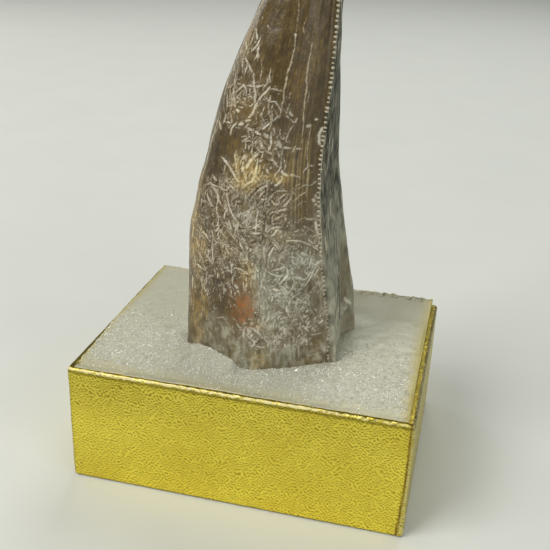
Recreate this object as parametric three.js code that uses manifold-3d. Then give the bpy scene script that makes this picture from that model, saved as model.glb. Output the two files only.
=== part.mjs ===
// A fossil dinosaur tooth that stands on a wadding pad in a small foil-covered specimen box.
// Millimetres, +Z up. The box's front faces -Y, the tooth's serrated rear edge faces +X, and the origin is
// the middle of the box's underside.
import * as THREE from "three";
import { RoundedBoxGeometry } from "three/addons/geometries/RoundedBoxGeometry.js";
import { mergeVertices } from "three/addons/utils/BufferGeometryUtils.js";
import Module from "manifold-3d";

const wasm = await Module();
wasm.setup();

// The box: a rigid board tray in one sheet of foil paper.
const BOX = { width: 54, depth: 40.7, height: 20.4, edgeRadius: 0.55 };
const BOARD = 0.8; // thickness of the grey board
const FOIL = 0.2; // thickness of the foil paper with its glue
const GLUE_GAP = 0.02; // keeps the foil's faces off the board's
const TURN_IN = 8; // how far the foil reaches down the inside of the walls
const CLEAR = 1; // how far a cutting block runs past what it cuts

// The pad fills the box and gives a little under the tooth.
const PAD = { top: 20.3, sideGap: 0.08, floorGap: 0.05, edgeRadius: 1 };
const SEAT = { sideGap: 0.3, floorGap: 0.05 };

// The tooth's outline, station by station up its height: the front (mesial) and rear (distal) edges.
const STATIONS = [
  { z: 20, mesial: -12.5, distal: 13.95 },
  { z: 29, mesial: -12.35, distal: 13 },
  { z: 40, mesial: -12.15, distal: 11.25 },
  { z: 51, mesial: -10.1, distal: 9.8 },
  { z: 62, mesial: -7.25, distal: 9.55 },
  { z: 72, mesial: -3.55, distal: 9.3 },
  { z: 81, mesial: 1, distal: 9.5 },
  { z: 87.5, mesial: 5.2, distal: 9.9 },
  { z: 90.5, mesial: 7.8, distal: 10.05 },
  { z: 91, mesial: 9, distal: 9.4 },
];
// Half the thickness is this share of the half length, raised to a power that keeps the tip stout.
const STOUT = { halfLength: 13, halfThickness: 11.1, power: 0.95 };
// The middle of the thickness: at the base, and how far it leans back to the tip.
const LEAN = { start: -1.6, rise: 1.6, power: 1.5 };

// Cross-sections in units of the half length and half thickness. Each starts at the serrated edge and
// goes round by the grooved rear face, the inner (lingual) face, the front edge and the outer face.
const SECTIONS = [
  {
    z: 20, // the grooved root end, with a lobe behind the groove
    points: [
      [0.835, -0.45], [0.92, -0.375], [0.86, 0.03], [0.875, 0.5], [0.995, 0.72], [0.84, 0.92], [0.28, 1],
      [-0.41, 0.89], [-0.85, 0.49], [-1, -0.05], [-0.94, -0.5], [-0.6, -0.76], [-0.11, -0.98], [0.46, -0.72],
    ],
  },
  {
    z: 42, // the middle of the crown
    points: [
      [0.8, -0.46], [0.9, -0.32], [0.9, 0.03], [0.93, 0.38], [0.98, 0.6], [0.82, 0.86], [0.26, 1],
      [-0.41, 0.9], [-0.85, 0.5], [-1, -0.04], [-0.92, -0.505], [-0.6, -0.8], [-0.08, -0.99], [0.45, -0.79],
    ],
  },
  {
    z: 75, // the upper crown, flat behind the serrated edge
    points: [
      [0.93, -0.42], [1, -0.25], [1, 0.02], [0.975, 0.29], [0.9, 0.54], [0.68, 0.82], [0.2, 1],
      [-0.42, 0.9], [-0.84, 0.5], [-1, -0.02], [-0.88, -0.5], [-0.55, -0.86], [0, -1], [0.56, -0.82],
    ],
  },
];
// The serrated edge stands proud of the faces beside it, and runs out over the last rings below the tip.
const KEEL = { proud: 0.35, runOut: 6 };
// The broken base, with chips at places around the cross-section, counted as its points are.
const BREAK_Z = 19.9;
const CHIPS = [
  { at: 10.9, width: 0.9, height: 1.3 },
  { at: 13.3, width: 0.5, height: 0.5 },
];
const COLUMNS_PER_POINT = 4;
const RINGS = 44;

// A smooth value at place t (0 to rows.length - 1) along rows of equal length, by Catmull-Rom.
function along(rows, t) {
  const last = rows.length - 1;
  const i = Math.min(Math.floor(t), last - 1);
  const f = t - i;
  return rows[0].map((_, k) => {
    const p1 = rows[i][k];
    const p2 = rows[i + 1][k];
    const p0 = i > 0 ? rows[i - 1][k] : 2 * p1 - p2;
    const p3 = i + 2 <= last ? rows[i + 2][k] : 2 * p2 - p1;
    const curve = (2 * p0 - 5 * p1 + 4 * p2 - p3) * f * f + (3 * p1 - p0 - 3 * p2 + p3) * f ** 3;
    return 0.5 * (2 * p1 + (p2 - p0) * f + curve);
  });
}

// The unit cross-section's point at height z and place k (0 to the number of points) around it. The loop
// starts and ends on the serrated edge, which so stays sharp.
function unitPoint(z, k) {
  const height = THREE.MathUtils.clamp(z, SECTIONS[0].z, SECTIONS.at(-1).z);
  const upper = Math.max(1, SECTIONS.findIndex((section) => height <= section.z));
  const [low, high] = [SECTIONS[upper - 1], SECTIONS[upper]];
  const share = THREE.MathUtils.smoothstep(height, low.z, high.z);
  const [a, b] = [low, high].map(({ points }) => along([...points, points[0]], k));
  return new THREE.Vector2(...a).lerp(new THREE.Vector2(...b), share);
}

// The tooth's surface: t is the place along STATIONS and k the place around the cross-section.
function toothPoint(t, k) {
  const [z, mesial, distal] = along(STATIONS.map((s) => [s.z, s.mesial, s.distal]), t);
  const halfLength = (distal - mesial) / 2;
  const halfThickness = STOUT.halfThickness * (halfLength / STOUT.halfLength) ** STOUT.power;
  const height = THREE.MathUtils.clamp((z - STATIONS[0].z) / (STATIONS.at(-1).z - STATIONS[0].z), 0, 1);
  const middle = LEAN.start + LEAN.rise * height ** LEAN.power;
  const unit = unitPoint(z, k);
  return new THREE.Vector3((mesial + distal) / 2 + halfLength * unit.x, middle + halfThickness * unit.y, z);
}

// How far the broken base is chipped away at place k around the tooth.
function chipped(k) {
  return CHIPS.reduce((sum, { at, width, height }) => sum + height * Math.exp(-(((k - at) / width) ** 2)), 0);
}

// A closed solid of rings stacked from the base to the tip, with a fan over each end.
function toothGeometry() {
  const places = SECTIONS[0].points.length;
  const columns = places * COLUMNS_PER_POINT;
  const top = STATIONS.length - 1;
  const positions = [];
  for (let ring = 0; ring < RINGS; ring++) {
    const t = (top * ring) / RINGS;
    for (let column = 0; column < columns; column++) {
      const k = column / COLUMNS_PER_POINT;
      const point = toothPoint(t, k);
      if (column === 0) {
        const proud = KEEL.proud * Math.min(1, (RINGS - ring) / KEEL.runOut);
        point.add(new THREE.Vector3(proud, -proud, 0).multiplyScalar(Math.SQRT1_2));
      }
      if (ring === 0) point.z = BREAK_Z + chipped(k);
      positions.push(...point);
    }
  }
  const base = positions.length / 3;
  positions.push(0, LEAN.start, BREAK_Z);
  const tip = base + 1;
  const { x, y, z } = toothPoint(top, 0).add(toothPoint(top, places / 2)).multiplyScalar(0.5);
  positions.push(x, y, z);
  const faces = [];
  for (let column = 0; column < columns; column++) {
    const next = (column + 1) % columns;
    faces.push(base, next, column);
    for (let ring = 0; ring < RINGS - 1; ring++) {
      const row = ring * columns;
      const above = row + columns;
      faces.push(row + column, row + next, above + next, row + column, above + next, above + column);
    }
    const last = (RINGS - 1) * columns;
    faces.push(last + column, last + next, tip);
  }
  return new THREE.BufferGeometry()
    .setAttribute("position", new THREE.Float32BufferAttribute(positions, 3))
    .setIndex(faces);
}

// A straight-sided block under the tooth's base, a gap larger than it all round, for the seat in the pad.
function seatGeometry() {
  const places = SECTIONS[0].points.length;
  const outline = Array.from({ length: places * 2 }, (_, i) => {
    const { x, y } = toothPoint(0, i / 2);
    const grow = 1 + SEAT.sideGap / Math.hypot(x, y - LEAN.start);
    return new THREE.Vector2(x * grow, LEAN.start + (y - LEAN.start) * grow);
  });
  const floor = BREAK_Z - SEAT.floorGap;
  const depth = PAD.top - floor + CLEAR;
  const block = new THREE.ExtrudeGeometry(new THREE.Shape(outline), { depth, bevelEnabled: false });
  return block.translate(0, 0, floor);
}

// A box with rounded edges, given by its half sizes and its lowest and highest z.
function blockGeometry(halfX, halfY, bottom, top, radius = 0) {
  const size = [2 * halfX, 2 * halfY, top - bottom];
  const shape = radius ? new RoundedBoxGeometry(...size, 3, radius) : new THREE.BoxGeometry(...size);
  return shape.translate(0, 0, (bottom + top) / 2);
}

// A geometry as a manifold-3d solid, and back.
function solid(geometry) {
  const bare = geometry.clone();
  bare.deleteAttribute("normal");
  bare.deleteAttribute("uv");
  const merged = mergeVertices(bare, 1e-4);
  const mesh = { numProp: 3, vertProperties: merged.attributes.position.array };
  return new wasm.Manifold(new wasm.Mesh({ ...mesh, triVerts: new Uint32Array(merged.index.array) }));
}

function geometryOf(made) {
  const { vertProperties, triVerts } = made.getMesh();
  return new THREE.BufferGeometry()
    .setAttribute("position", new THREE.BufferAttribute(vertProperties, 3))
    .setIndex(new THREE.BufferAttribute(triVerts, 1));
}

const half = { x: BOX.width / 2, y: BOX.depth / 2 };
const wall = FOIL + BOARD; // from the outside of the box to the board's inner face

// The board tray, with every face moved outwards by grow.
function tray(grow) {
  const outer = blockGeometry(
    half.x - FOIL + grow,
    half.y - FOIL + grow,
    FOIL - grow,
    BOX.height - FOIL + grow,
    BOX.edgeRadius - FOIL,
  );
  const inner = blockGeometry(half.x - wall - grow, half.y - wall - grow, wall + grow, BOX.height + CLEAR);
  return solid(outer).subtract(solid(inner));
}

// The foil: the whole box less the tray and less the room for the pad, which is wider below the turn-in.
function foil() {
  const whole = blockGeometry(half.x, half.y, 0, BOX.height, BOX.edgeRadius);
  const turnEnd = BOX.height - TURN_IN;
  const midBoard = FOIL + BOARD / 2;
  const below = blockGeometry(half.x - midBoard, half.y - midBoard, midBoard, turnEnd);
  const above = blockGeometry(
    half.x - wall - FOIL,
    half.y - wall - FOIL,
    turnEnd - CLEAR,
    BOX.height + CLEAR,
  );
  return solid(whole).subtract(tray(GLUE_GAP)).subtract(solid(below)).subtract(solid(above));
}

// The pad: a soft-edged block with the tooth's seat pressed into it.
function pad() {
  const inset = wall + FOIL + PAD.sideGap;
  const block = blockGeometry(half.x - inset, half.y - inset, wall + PAD.floorGap, PAD.top, PAD.edgeRadius);
  return solid(block).subtract(solid(seatGeometry()));
}

const finishes = {
  enamel: new THREE.MeshStandardMaterial({ color: 0x6b5a41, roughness: 0.42, metalness: 0 }),
  wadding: new THREE.MeshStandardMaterial({ color: 0xb4b8a8, roughness: 0.8, metalness: 0 }),
  greyBoard: new THREE.MeshStandardMaterial({ color: 0x9a958a, roughness: 0.95, metalness: 0 }),
  goldFoil: new THREE.MeshStandardMaterial({ color: 0xc9b23c, roughness: 0.35, metalness: 0.9 }),
};

function piece(name, geometry, finish) {
  const mesh = new THREE.Mesh(geometry, finish);
  mesh.name = name;
  return mesh;
}

const specimen = new THREE.Group();
specimen.add(
  piece("tooth", toothGeometry(), finishes.enamel),
  piece("wadding_pad", geometryOf(pad()), finishes.wadding),
  piece("board_tray", geometryOf(tray(0)), finishes.greyBoard),
  piece("foil_wrap", geometryOf(foil()), finishes.goldFoil),
);

export default specimen;
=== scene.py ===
# %% [markdown]
# # A dinosaur tooth in its gold specimen box
#
# A broad theropod tooth stands on its broken root end, on a pad of glazed wadding, in the lower half of a
# small card box that is covered with embossed gold foil paper. This notebook puts the finish on that
# model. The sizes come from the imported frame, the work is done in millimetres, and each new surface is
# worked out with numpy as whole arrays and turned into a mesh at the end.

# %% Load the fixed frame
import math

import bpy
import numpy as np
from mathutils import Matrix, Vector


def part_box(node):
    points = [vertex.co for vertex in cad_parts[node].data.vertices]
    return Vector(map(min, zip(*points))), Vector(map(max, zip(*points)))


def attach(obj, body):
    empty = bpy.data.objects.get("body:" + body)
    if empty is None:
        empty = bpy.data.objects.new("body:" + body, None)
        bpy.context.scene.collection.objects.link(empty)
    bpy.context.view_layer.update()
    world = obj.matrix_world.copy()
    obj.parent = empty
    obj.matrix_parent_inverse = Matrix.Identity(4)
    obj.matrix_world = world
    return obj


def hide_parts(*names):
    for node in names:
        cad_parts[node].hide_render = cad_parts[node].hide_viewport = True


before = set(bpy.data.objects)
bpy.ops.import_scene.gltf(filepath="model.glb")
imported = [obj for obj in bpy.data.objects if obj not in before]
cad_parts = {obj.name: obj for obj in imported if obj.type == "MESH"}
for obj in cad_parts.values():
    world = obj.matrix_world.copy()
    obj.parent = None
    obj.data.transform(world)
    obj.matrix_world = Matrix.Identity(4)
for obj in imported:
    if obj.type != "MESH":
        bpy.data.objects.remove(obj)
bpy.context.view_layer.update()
MM = 0.001  # metres in a millimetre

# %% [markdown]
# ## Camera
#
# A small thing held close looks right only from close by, so the camera stands 14 cm away with a moderate
# lens. It is turned round the box, raised, and rolled a little, as a hand-held camera is. Three rotations
# in a row say that more plainly than a table of matrix numbers.

# %% Camera
VIEW = {"azimuth": 13.24, "elevation": 24.32, "roll": 2.18}  # degrees
VIEW_DISTANCE = 140.45  # mm, from the point that the camera looks at
VIEW_TARGET = (0.864, 0.0, 31.32)  # mm
LENS, SENSOR = 56.1, 36.0  # mm

camera = bpy.data.objects.new("camera", bpy.data.cameras.new("camera"))
bpy.context.scene.collection.objects.link(camera)
bpy.context.scene.camera = camera
camera.data.lens = LENS
camera.data.sensor_width = SENSOR
camera.data.clip_start = 0.01
camera.data.clip_end = 20.0
turn = (
    Matrix.Rotation(math.radians(VIEW["azimuth"]), 4, "Z")
    @ Matrix.Rotation(math.radians(90 - VIEW["elevation"]), 4, "X")
    @ Matrix.Rotation(math.radians(VIEW["roll"]), 4, "Z")
)
backwards = turn.to_3x3() @ Vector((0, 0, 1))
place = (Vector(VIEW_TARGET) + backwards * VIEW_DISTANCE) * MM
camera.matrix_world = Matrix.Translation(place) @ turn
print("camera at", [round(1000 * x, 1) for x in place], "mm")

# %% [markdown]
# ## Colours and nodes
#
# A paint chart gives colours as sRGB hex values, and shaders count in linear light, so one function turns
# the one into the other. A second function adds any shader node: its settings are given by name, and its
# sockets are filled in order, or by name, with numbers or with what feeds them. A third starts a material.

# %% One function for colours, one for nodes, one to start a material
def linear(hex_colour):
    """sRGB hex to linear RGBA: a channel is c / 12.92 when dark and ((c + 0.055) / 1.055) ** 2.4 above."""
    channels = np.array([int(hex_colour[i : i + 2], 16) for i in (1, 3, 5)]) / 255
    light = np.where(channels <= 0.04045, channels / 12.92, ((channels + 0.055) / 1.055) ** 2.4)
    return (*light.tolist(), 1.0)


def add(tree, kind, *fed, named=None, **settings):
    """Adds a node, by its type without the leading ShaderNode. Settings are its properties. Its open
    sockets are filled in order from fed, and by name from named: a node or an output is linked, a number
    or a colour is set, and None leaves a socket alone."""
    node = tree.nodes.new("ShaderNode" + kind)
    for key, value in settings.items():
        setattr(node, key, value)
    open_sockets = [socket for socket in node.inputs if socket.enabled]
    by_name = {socket.name: socket for socket in open_sockets}
    pairs = list(zip(open_sockets, fed)) + [(by_name[key], value) for key, value in (named or {}).items()]
    for socket, value in pairs:
        if isinstance(value, bpy.types.Node):
            value = next(output for output in value.outputs if output.enabled)
        if isinstance(value, bpy.types.NodeSocket):
            tree.links.new(value, socket)
        elif value is not None:
            socket.default_value = value
    return node


def new_material(name):
    """A node material with nothing in it yet but the place on the piece in mm. Returns the material, its
    tree and that place, which solid patterns such as grain and mottling are laid out by."""
    material = bpy.data.materials.new(name)
    material.use_nodes = True
    tree = material.node_tree
    tree.nodes.clear()
    metres = add(tree, "TexCoord").outputs["Object"]
    return material, tree, add(tree, "Mapping", metres, named={"Scale": (1 / MM, 1 / MM, 1 / MM)})


print("mid grey in linear light:", [round(c, 3) for c in linear("#808080")])

# %% [markdown]
# ## Floor
#
# The box stands on a plain pale floor. A studio sweep would curve up behind it, but one large flat face
# does, because the camera looks down on it and doesn't see its far edge. It is painted with matt
# emulsion: an even pale grey that scatters light and mirrors nothing.

# %% Floor
FLOOR_SIDE = 6.0  # m
FLOOR_GRAIN = 25.0  # mm, the soft clouds that a roller leaves

floor_mesh = bpy.data.meshes.new("floor")
floor_corners = np.array([(-1, -1, 0), (1, -1, 0), (1, 1, 0), (-1, 1, 0)]) * FLOOR_SIDE / 2
floor_mesh.from_pydata(floor_corners.tolist(), [], [(0, 1, 2, 3)])
floor = bpy.data.objects.new("floor", floor_mesh)
bpy.context.scene.collection.objects.link(floor)

floor_paint, tree, solid = new_material("matt_emulsion_floor_paint")
floor_grain = add(tree, "TexNoise", solid, named={"Scale": 1 / FLOOR_GRAIN, "Detail": 3.0})
floor_colour = add(tree, "Mix", floor_grain, linear("#C9CDCC"), linear("#D0D3D1"), data_type="RGBA")
floor_shader = add(
    tree, "BsdfPrincipled", floor_colour, named={"Roughness": 0.9, "Specular IOR Level": 0.1}
)
add(tree, "OutputMaterial", floor_shader)
floor_mesh.materials.append(floor_paint)
print("floor:", FLOOR_SIDE, "m square")

# %% [markdown]
# ## Studio light
#
# The light is what a small product gets in a light tent: one large soft lamp high on the left, weaker
# ones on the right, above and behind, and a dim even surround. A single sun lamp would be quicker to
# place, but its hard glints would break up the foil. The surround stays darker than the floor, because
# foil shows its emboss only when it has something light and something dark to mirror.

# %% Lamps and surround
LAMPS = {  # name: place in m, width in m, watts, colour
    "key_high_left": ((-0.40, -0.40, 0.62), 0.44, 5.2, "#FFFBF2"),
    "fill_right": ((0.60, -0.45, 0.32), 0.50, 2.4, "#FAFAF4"),
    "top_behind": ((0.05, 0.50, 0.60), 0.40, 2.2, "#FBFAF2"),
    "low_behind_left": ((-0.52, 0.34, 0.22), 0.20, 0.5, "#FFFAF0"),
}
AIM = Vector((0, 0, 0.03))
for name, (spot, width, watts, colour) in LAMPS.items():
    lamp = bpy.data.objects.new(name, bpy.data.lights.new(name, "AREA"))
    bpy.context.scene.collection.objects.link(lamp)
    lamp.data.shape = "SQUARE"
    lamp.data.size = width
    lamp.data.energy = watts
    lamp.data.color = linear(colour)[:3]
    lamp.location = spot
    lamp.rotation_euler = (Vector(spot) - AIM).to_track_quat("Z", "Y").to_euler()

SURROUND = ("#C0C1BB", 0.42)  # colour, strength
world = bpy.data.worlds.new("dim_even_surround")
bpy.context.scene.world = world
world.use_nodes = True
world.node_tree.nodes.clear()
surround = add(world.node_tree, "Background", linear(SURROUND[0]), SURROUND[1])
add(world.node_tree, "OutputWorld", surround)

# The plain sRGB curve keeps the gold as yellow as it is; a film-like curve would wash it out.
bpy.context.scene.view_settings.view_transform = "Standard"
print(len(LAMPS), "lamps")

# %% [markdown]
# ## From arrays to meshes
#
# Every surface here is a grid: rows one way, columns the other, and often closed on itself like a tube.
# One function gives the four corners of each little face, and a second puts points, faces and painted
# layers into a mesh. A layer is a number kept at each point, which a material reads back by name.

# %% Grids and meshes
def grid_cells(rows, columns, closed):
    """The cells of a grid as two arrays (cells, 4) with each corner's row and column. In a closed grid the
    last cell of a row ends at column number columns, which is the first column again."""
    cells_across = columns if closed else columns - 1
    row, column = np.meshgrid(np.arange(rows - 1), np.arange(cells_across), indexing="ij")
    row, column = row.ravel()[:, None], column.ravel()[:, None]
    return row + np.array([0, 0, 1, 1]), column + np.array([0, 1, 1, 0])


def make_piece(name, points, faces, material, layers=None, uv=None, shade_smooth=True):
    """A mesh object from points in mm (n, 3) and faces, a list of arrays with one row of point numbers per
    face. layers are numbers per point. uv is one pair per face corner, in the faces' order. Without
    shade_smooth each face is lit as the flat facet that it is."""
    mesh = bpy.data.meshes.new(name)
    mesh.vertices.add(len(points))
    mesh.vertices.foreach_set("co", (points * MM).astype(np.float32).ravel())
    corners = np.concatenate([group.ravel() for group in faces])
    sizes = np.concatenate([np.full(len(group), group.shape[1]) for group in faces])
    mesh.loops.add(len(corners))
    mesh.loops.foreach_set("vertex_index", corners.astype(np.int32))
    mesh.polygons.add(len(sizes))
    mesh.polygons.foreach_set("loop_start", (np.cumsum(sizes) - sizes).astype(np.int32))
    mesh.polygons.foreach_set("use_smooth", np.full(len(sizes), shade_smooth))
    for layer, values in (layers or {}).items():
        values_at = mesh.attributes.new(layer, "FLOAT", "POINT").data
        values_at.foreach_set("value", values.astype(np.float32).ravel())
    if uv is not None:
        mesh.uv_layers.new(name="flat_mm").data.foreach_set("uv", uv.astype(np.float32).ravel())
    mesh.update(calc_edges=True)
    mesh.validate()
    mesh.materials.append(material)
    piece = bpy.data.objects.new(name, mesh)
    bpy.context.scene.collection.objects.link(piece)
    triangles = int((sizes - 2).sum())
    print(f"{name}: {triangles} triangles")
    return piece


# %% [markdown]
# ## Curves and gentle randomness
#
# Natural and handmade things are never quite straight or flat. A smoothstep fades one thing into
# another, a curve runs softly through a few points, and a sum of waves swells and dips without a visible
# repeat. Blender's own noise textures could give such swells, but only to a shader or a modifier, while
# these can move points before there is a mesh.

# %% Curves and gentle randomness
def smooth(x, low, high):
    """Smoothstep: 0 below low, 1 above high, and 3 t^2 - 2 t^3 of the share t in between."""
    share = np.clip((x - low) / (high - low), 0, 1)
    return share * share * (3 - 2 * share)


def highest(*layers):
    """Layers laid over each other, whatever their shapes: each point keeps the largest value there."""
    return np.maximum.reduce(np.broadcast_arrays(*layers))


def curve_through(points, places):
    """Catmull-Rom curve through rows of points at fractional places along them. Each stretch is a cubic
    whose slope at a point is half the step between its two neighbours, and the ends carry on straight."""
    last = len(points) - 1
    carried = np.concatenate([[2 * points[0] - points[1]], points, [2 * points[-1] - points[-2]]])
    start = np.clip(np.floor(places).astype(int), 0, last - 1)
    f = (places - start)[:, None]
    p0, p1, p2, p3 = (carried[start + i] for i in range(4))
    curve = (2 * p0 - 5 * p1 + 4 * p2 - p3) * f**2 + (3 * p1 - p0 - 3 * p2 + p3) * f**3
    return 0.5 * (2 * p1 + (p2 - p0) * f + curve)


def swell(points, wavelength, seed, waves=14):
    """A gentle random relief of about -1 to 1: the sum of cosine waves of one wavelength, each with its own
    direction and start. points is (..., 2) or (..., 3)."""
    dice = np.random.default_rng(seed)
    ways = dice.normal(size=(waves, points.shape[-1]))
    ways *= 2 * np.pi / wavelength / np.linalg.norm(ways, axis=1, keepdims=True)
    starts = dice.uniform(0, 2 * np.pi, waves)
    return sum(np.cos(points @ way + start) for way, start in zip(ways, starts)) / np.sqrt(2 * waves)


def swell_along(values, wavelength, seed):
    """The same relief along a line: swell with the values as its first coordinate and 0 as its second."""
    return swell(np.stack([values, values * 0], -1), wavelength, seed)


print("smooth halfway:", smooth(0.5, 0, 1))

# %% [markdown]
# ## The tooth's shape
#
# The crown is one natural piece: a tall blade that leans back, broad in front, with a flat hollowed rear
# face and one sharp serrated edge (the distal carina) turned towards the outer face. It could be
# sculpted, but a loft keeps it measurable: cross-sections at three heights are blended up the height and
# fitted between the front and rear edges. It is the same loft that the solid was built from.
#
# Each ring is then walked round by its own length. A point so has two surface coordinates that mean
# something on the real tooth: the distance round from the serrated edge over the outer face, and the
# height. The growth lines converge to the tip because they keep to one share of the way round.

# %% The loft's driving sizes, in mm
STATIONS = np.array([  # height, front edge, rear edge
    (20, -12.5, 13.95), (29, -12.35, 13), (40, -12.15, 11.25), (51, -10.1, 9.8), (62, -7.25, 9.55),
    (72, -3.55, 9.3), (81, 1, 9.5), (87.5, 5.2, 9.9), (90.5, 7.8, 10.05), (91, 9, 9.4),
])
SECTIONS = {  # height: points round from the serrated edge, in half lengths and half thicknesses
    20: [
        (0.835, -0.45), (0.92, -0.375), (0.86, 0.03), (0.875, 0.5), (0.995, 0.72), (0.84, 0.92), (0.28, 1),
        (-0.41, 0.89), (-0.85, 0.49), (-1, -0.05), (-0.94, -0.5), (-0.6, -0.76), (-0.11, -0.98),
        (0.46, -0.72),
    ],
    42: [
        (0.8, -0.46), (0.9, -0.32), (0.9, 0.03), (0.93, 0.38), (0.98, 0.6), (0.82, 0.86), (0.26, 1),
        (-0.41, 0.9), (-0.85, 0.5), (-1, -0.04), (-0.92, -0.505), (-0.6, -0.8), (-0.08, -0.99),
        (0.45, -0.79),
    ],
    75: [
        (0.93, -0.42), (1, -0.25), (1, 0.02), (0.975, 0.29), (0.9, 0.54), (0.68, 0.82), (0.2, 1),
        (-0.42, 0.9), (-0.84, 0.5), (-1, -0.02), (-0.88, -0.5), (-0.55, -0.86), (0, -1), (0.56, -0.82),
    ],
}
SECTION_POINTS = len(SECTIONS[20])
BREAK_Z, CROWN_Z = STATIONS[0, 0], STATIONS[-1, 0]
BASE_HALF_LENGTH, BASE_HALF_THICKNESS = 13, 11.1
ROOT_Y = -1.6  # the root's middle; the tip leans back to 0
ROW_STEP = 0.195  # between rows of the mesh

# %% Rows up the height
fine = curve_through(STATIONS, np.linspace(0, len(STATIONS) - 1, 6000))
climb = np.hypot(np.gradient(fine[:, 0]), np.gradient((fine[:, 2] - fine[:, 1]) / 2))
climb = np.cumsum(climb) - climb[0]
ROWS = int(climb[-1] / ROW_STEP)
row_places = np.linspace(0, climb[-1] - ROW_STEP, ROWS)
row_z, front_x, rear_x = (np.interp(row_places, climb, column)[:, None] for column in fine.T)
half_length = (rear_x - front_x) / 2
half_thickness = BASE_HALF_THICKNESS * (half_length / BASE_HALF_LENGTH) ** 0.95
rise = (row_z - BREAK_Z) / (CROWN_Z - BREAK_Z)
middle_y = ROOT_Y - ROOT_Y * rise**1.5

AROUND = 1400  # fine steps round each section
loops = {
    height: curve_through(np.array(points + points[:1]), np.linspace(0, len(points), AROUND + 1))[::-1]
    for height, points in SECTIONS.items()
}
lower, upper = smooth(row_z, 20, 42)[..., None], smooth(row_z, 42, 75)[..., None]
unit = (loops[20] * (1 - lower) + loops[42] * lower) * (1 - upper) + loops[75] * upper
ring_x = (front_x + rear_x) / 2 + half_length * unit[..., 0]
ring_y = middle_y + half_thickness * unit[..., 1]
steps_round = np.hypot(np.diff(ring_x, axis=1), np.diff(ring_y, axis=1))
way_round = np.concatenate([np.zeros((ROWS, 1)), np.cumsum(steps_round, axis=1)], axis=1)
girth = way_round[:, -1:]
print(ROWS, "rows; girth at the base", round(float(girth[0, 0]), 1), "mm")

# %% Columns round the crown, closest on the outer face and beside the serrated edge
COLUMN_STEPS = [  # share of the way round, mm between columns there, half way up
    (0.0, 0.14), (0.02, 0.17), (0.4, 0.17), (0.48, 0.46), (0.76, 0.44), (0.84, 0.27), (1.0, 0.16),
]
share_fine = np.linspace(0, 1, 4001)
column_step = np.interp(share_fine, *np.array(COLUMN_STEPS).T) / girth[ROWS // 2, 0]
column_count = np.cumsum(np.diff(share_fine) / column_step[1:])
COLUMNS = int(column_count[-1])
column_places = np.arange(COLUMNS) / COLUMNS * column_count[-1]
share_round = np.interp(column_places, np.append(0, column_count), share_fine)
u = share_round * girth  # mm round from the serrated edge, over the outer face
z = np.broadcast_to(row_z, u.shape)
crown = np.empty((ROWS, COLUMNS, 3))
for row in range(ROWS):
    crown[row, :, 0] = np.interp(u[row], way_round[row], ring_x[row])
    crown[row, :, 1] = np.interp(u[row], way_round[row], ring_y[row])
crown[..., 2] = z
from_edge = np.minimum(u, girth - u)
print(COLUMNS, "columns round")

# %% [markdown]
# ## Relief of the enamel
#
# Fossil enamel isn't a smooth loft. It swells and dips slightly over a centimetre, fine flutes run up it,
# flakes have come off the broken base, and the serrated edge stands up as a low keel. A displacement in
# the shader could do the same, but the serrations have to sit on the finished keel. So all of that moves
# the points of the mesh, most of it along their normals, and it shows in the outline as well.

# %% Normals, flutes, keel and chips
def grid_normals(points):
    """Unit normals of a closed grid: the cross product of the steps along the columns and up the rows."""
    wrapped = np.concatenate([points[:, -1:], points, points[:, :1]], axis=1)
    round_step = wrapped[:, 2:] - wrapped[:, :-2]
    up_step = np.gradient(points, axis=0)
    across = np.cross(round_step, up_step)
    return across / np.linalg.norm(across, axis=-1, keepdims=True)


KEEL_PROUD, KEEL_WIDTH = 0.35, 0.42  # mm
SWELLS = [(0.13, 15, 1), (0.07, 6, 2), (0.02, 1.9, 3)]  # depth and wavelength in mm, seed
FLUTES = [(24, 0.045, 4), (41, 0.02, 5), (67, 0.008, 6)]  # how many round the crown, depth in mm, seed
FLAKES = [  # distance round, its half width, rise of the broken edge, and how far in it goes, in mm
    (18.6, 2.6, 0.5, 0.25),
    (14.0, 0.8, 0.3, 0.35),
    (41.0, 4.5, 0.8, 0.5),
    (55.0, 1.6, 0.5, 0.3),
]
outward = -grid_normals(crown)  # the columns run clockwise, seen from above
taper = smooth(row_z, 91, 84)
relief = sum(depth * swell(crown, wavelength, seed) for depth, wavelength, seed in SWELLS)
for count, depth, seed in FLUTES:
    wander = swell_along(z, 30, seed) * 0.5
    flute = np.cos(2 * np.pi * count * share_round + wander + seed)
    relief = relief + depth * flute * swell(crown, 11, seed)
relief = relief * (0.35 + 0.65 * taper)  # shallower towards the tip
height = row_z - BREAK_Z
chipped = np.zeros(COLUMNS)
for centre, half_width, up, inwards in FLAKES:
    inside = np.exp(-np.abs((u[0] - centre) / half_width) ** 4)
    chipped = chipped + inside * up
    relief = relief - inside * inwards * np.exp(-((height / 1.9) ** 2))
ragged = 0.12 * swell_along(u[0], 1.3, 7) + 0.08 * swell_along(u[0], 0.6, 8)
crown = crown + outward * relief[..., None]
keel = KEEL_PROUD * np.exp(-((from_edge / KEEL_WIDTH) ** 2)) * smooth(row_z, 91, 89) * smooth(row_z, 19, 27)
crown = crown + keel[..., None] * np.array([1, -1, 0]) / math.sqrt(2)
crown[..., 2] = crown[..., 2] - 0.1 * np.exp(-height) + (chipped + ragged) * np.exp(-height / 1.6)
outward = -grid_normals(crown)
print("relief from", round(float(relief.min()), 2), "to", round(float(relief.max()), 2), "mm")
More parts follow.
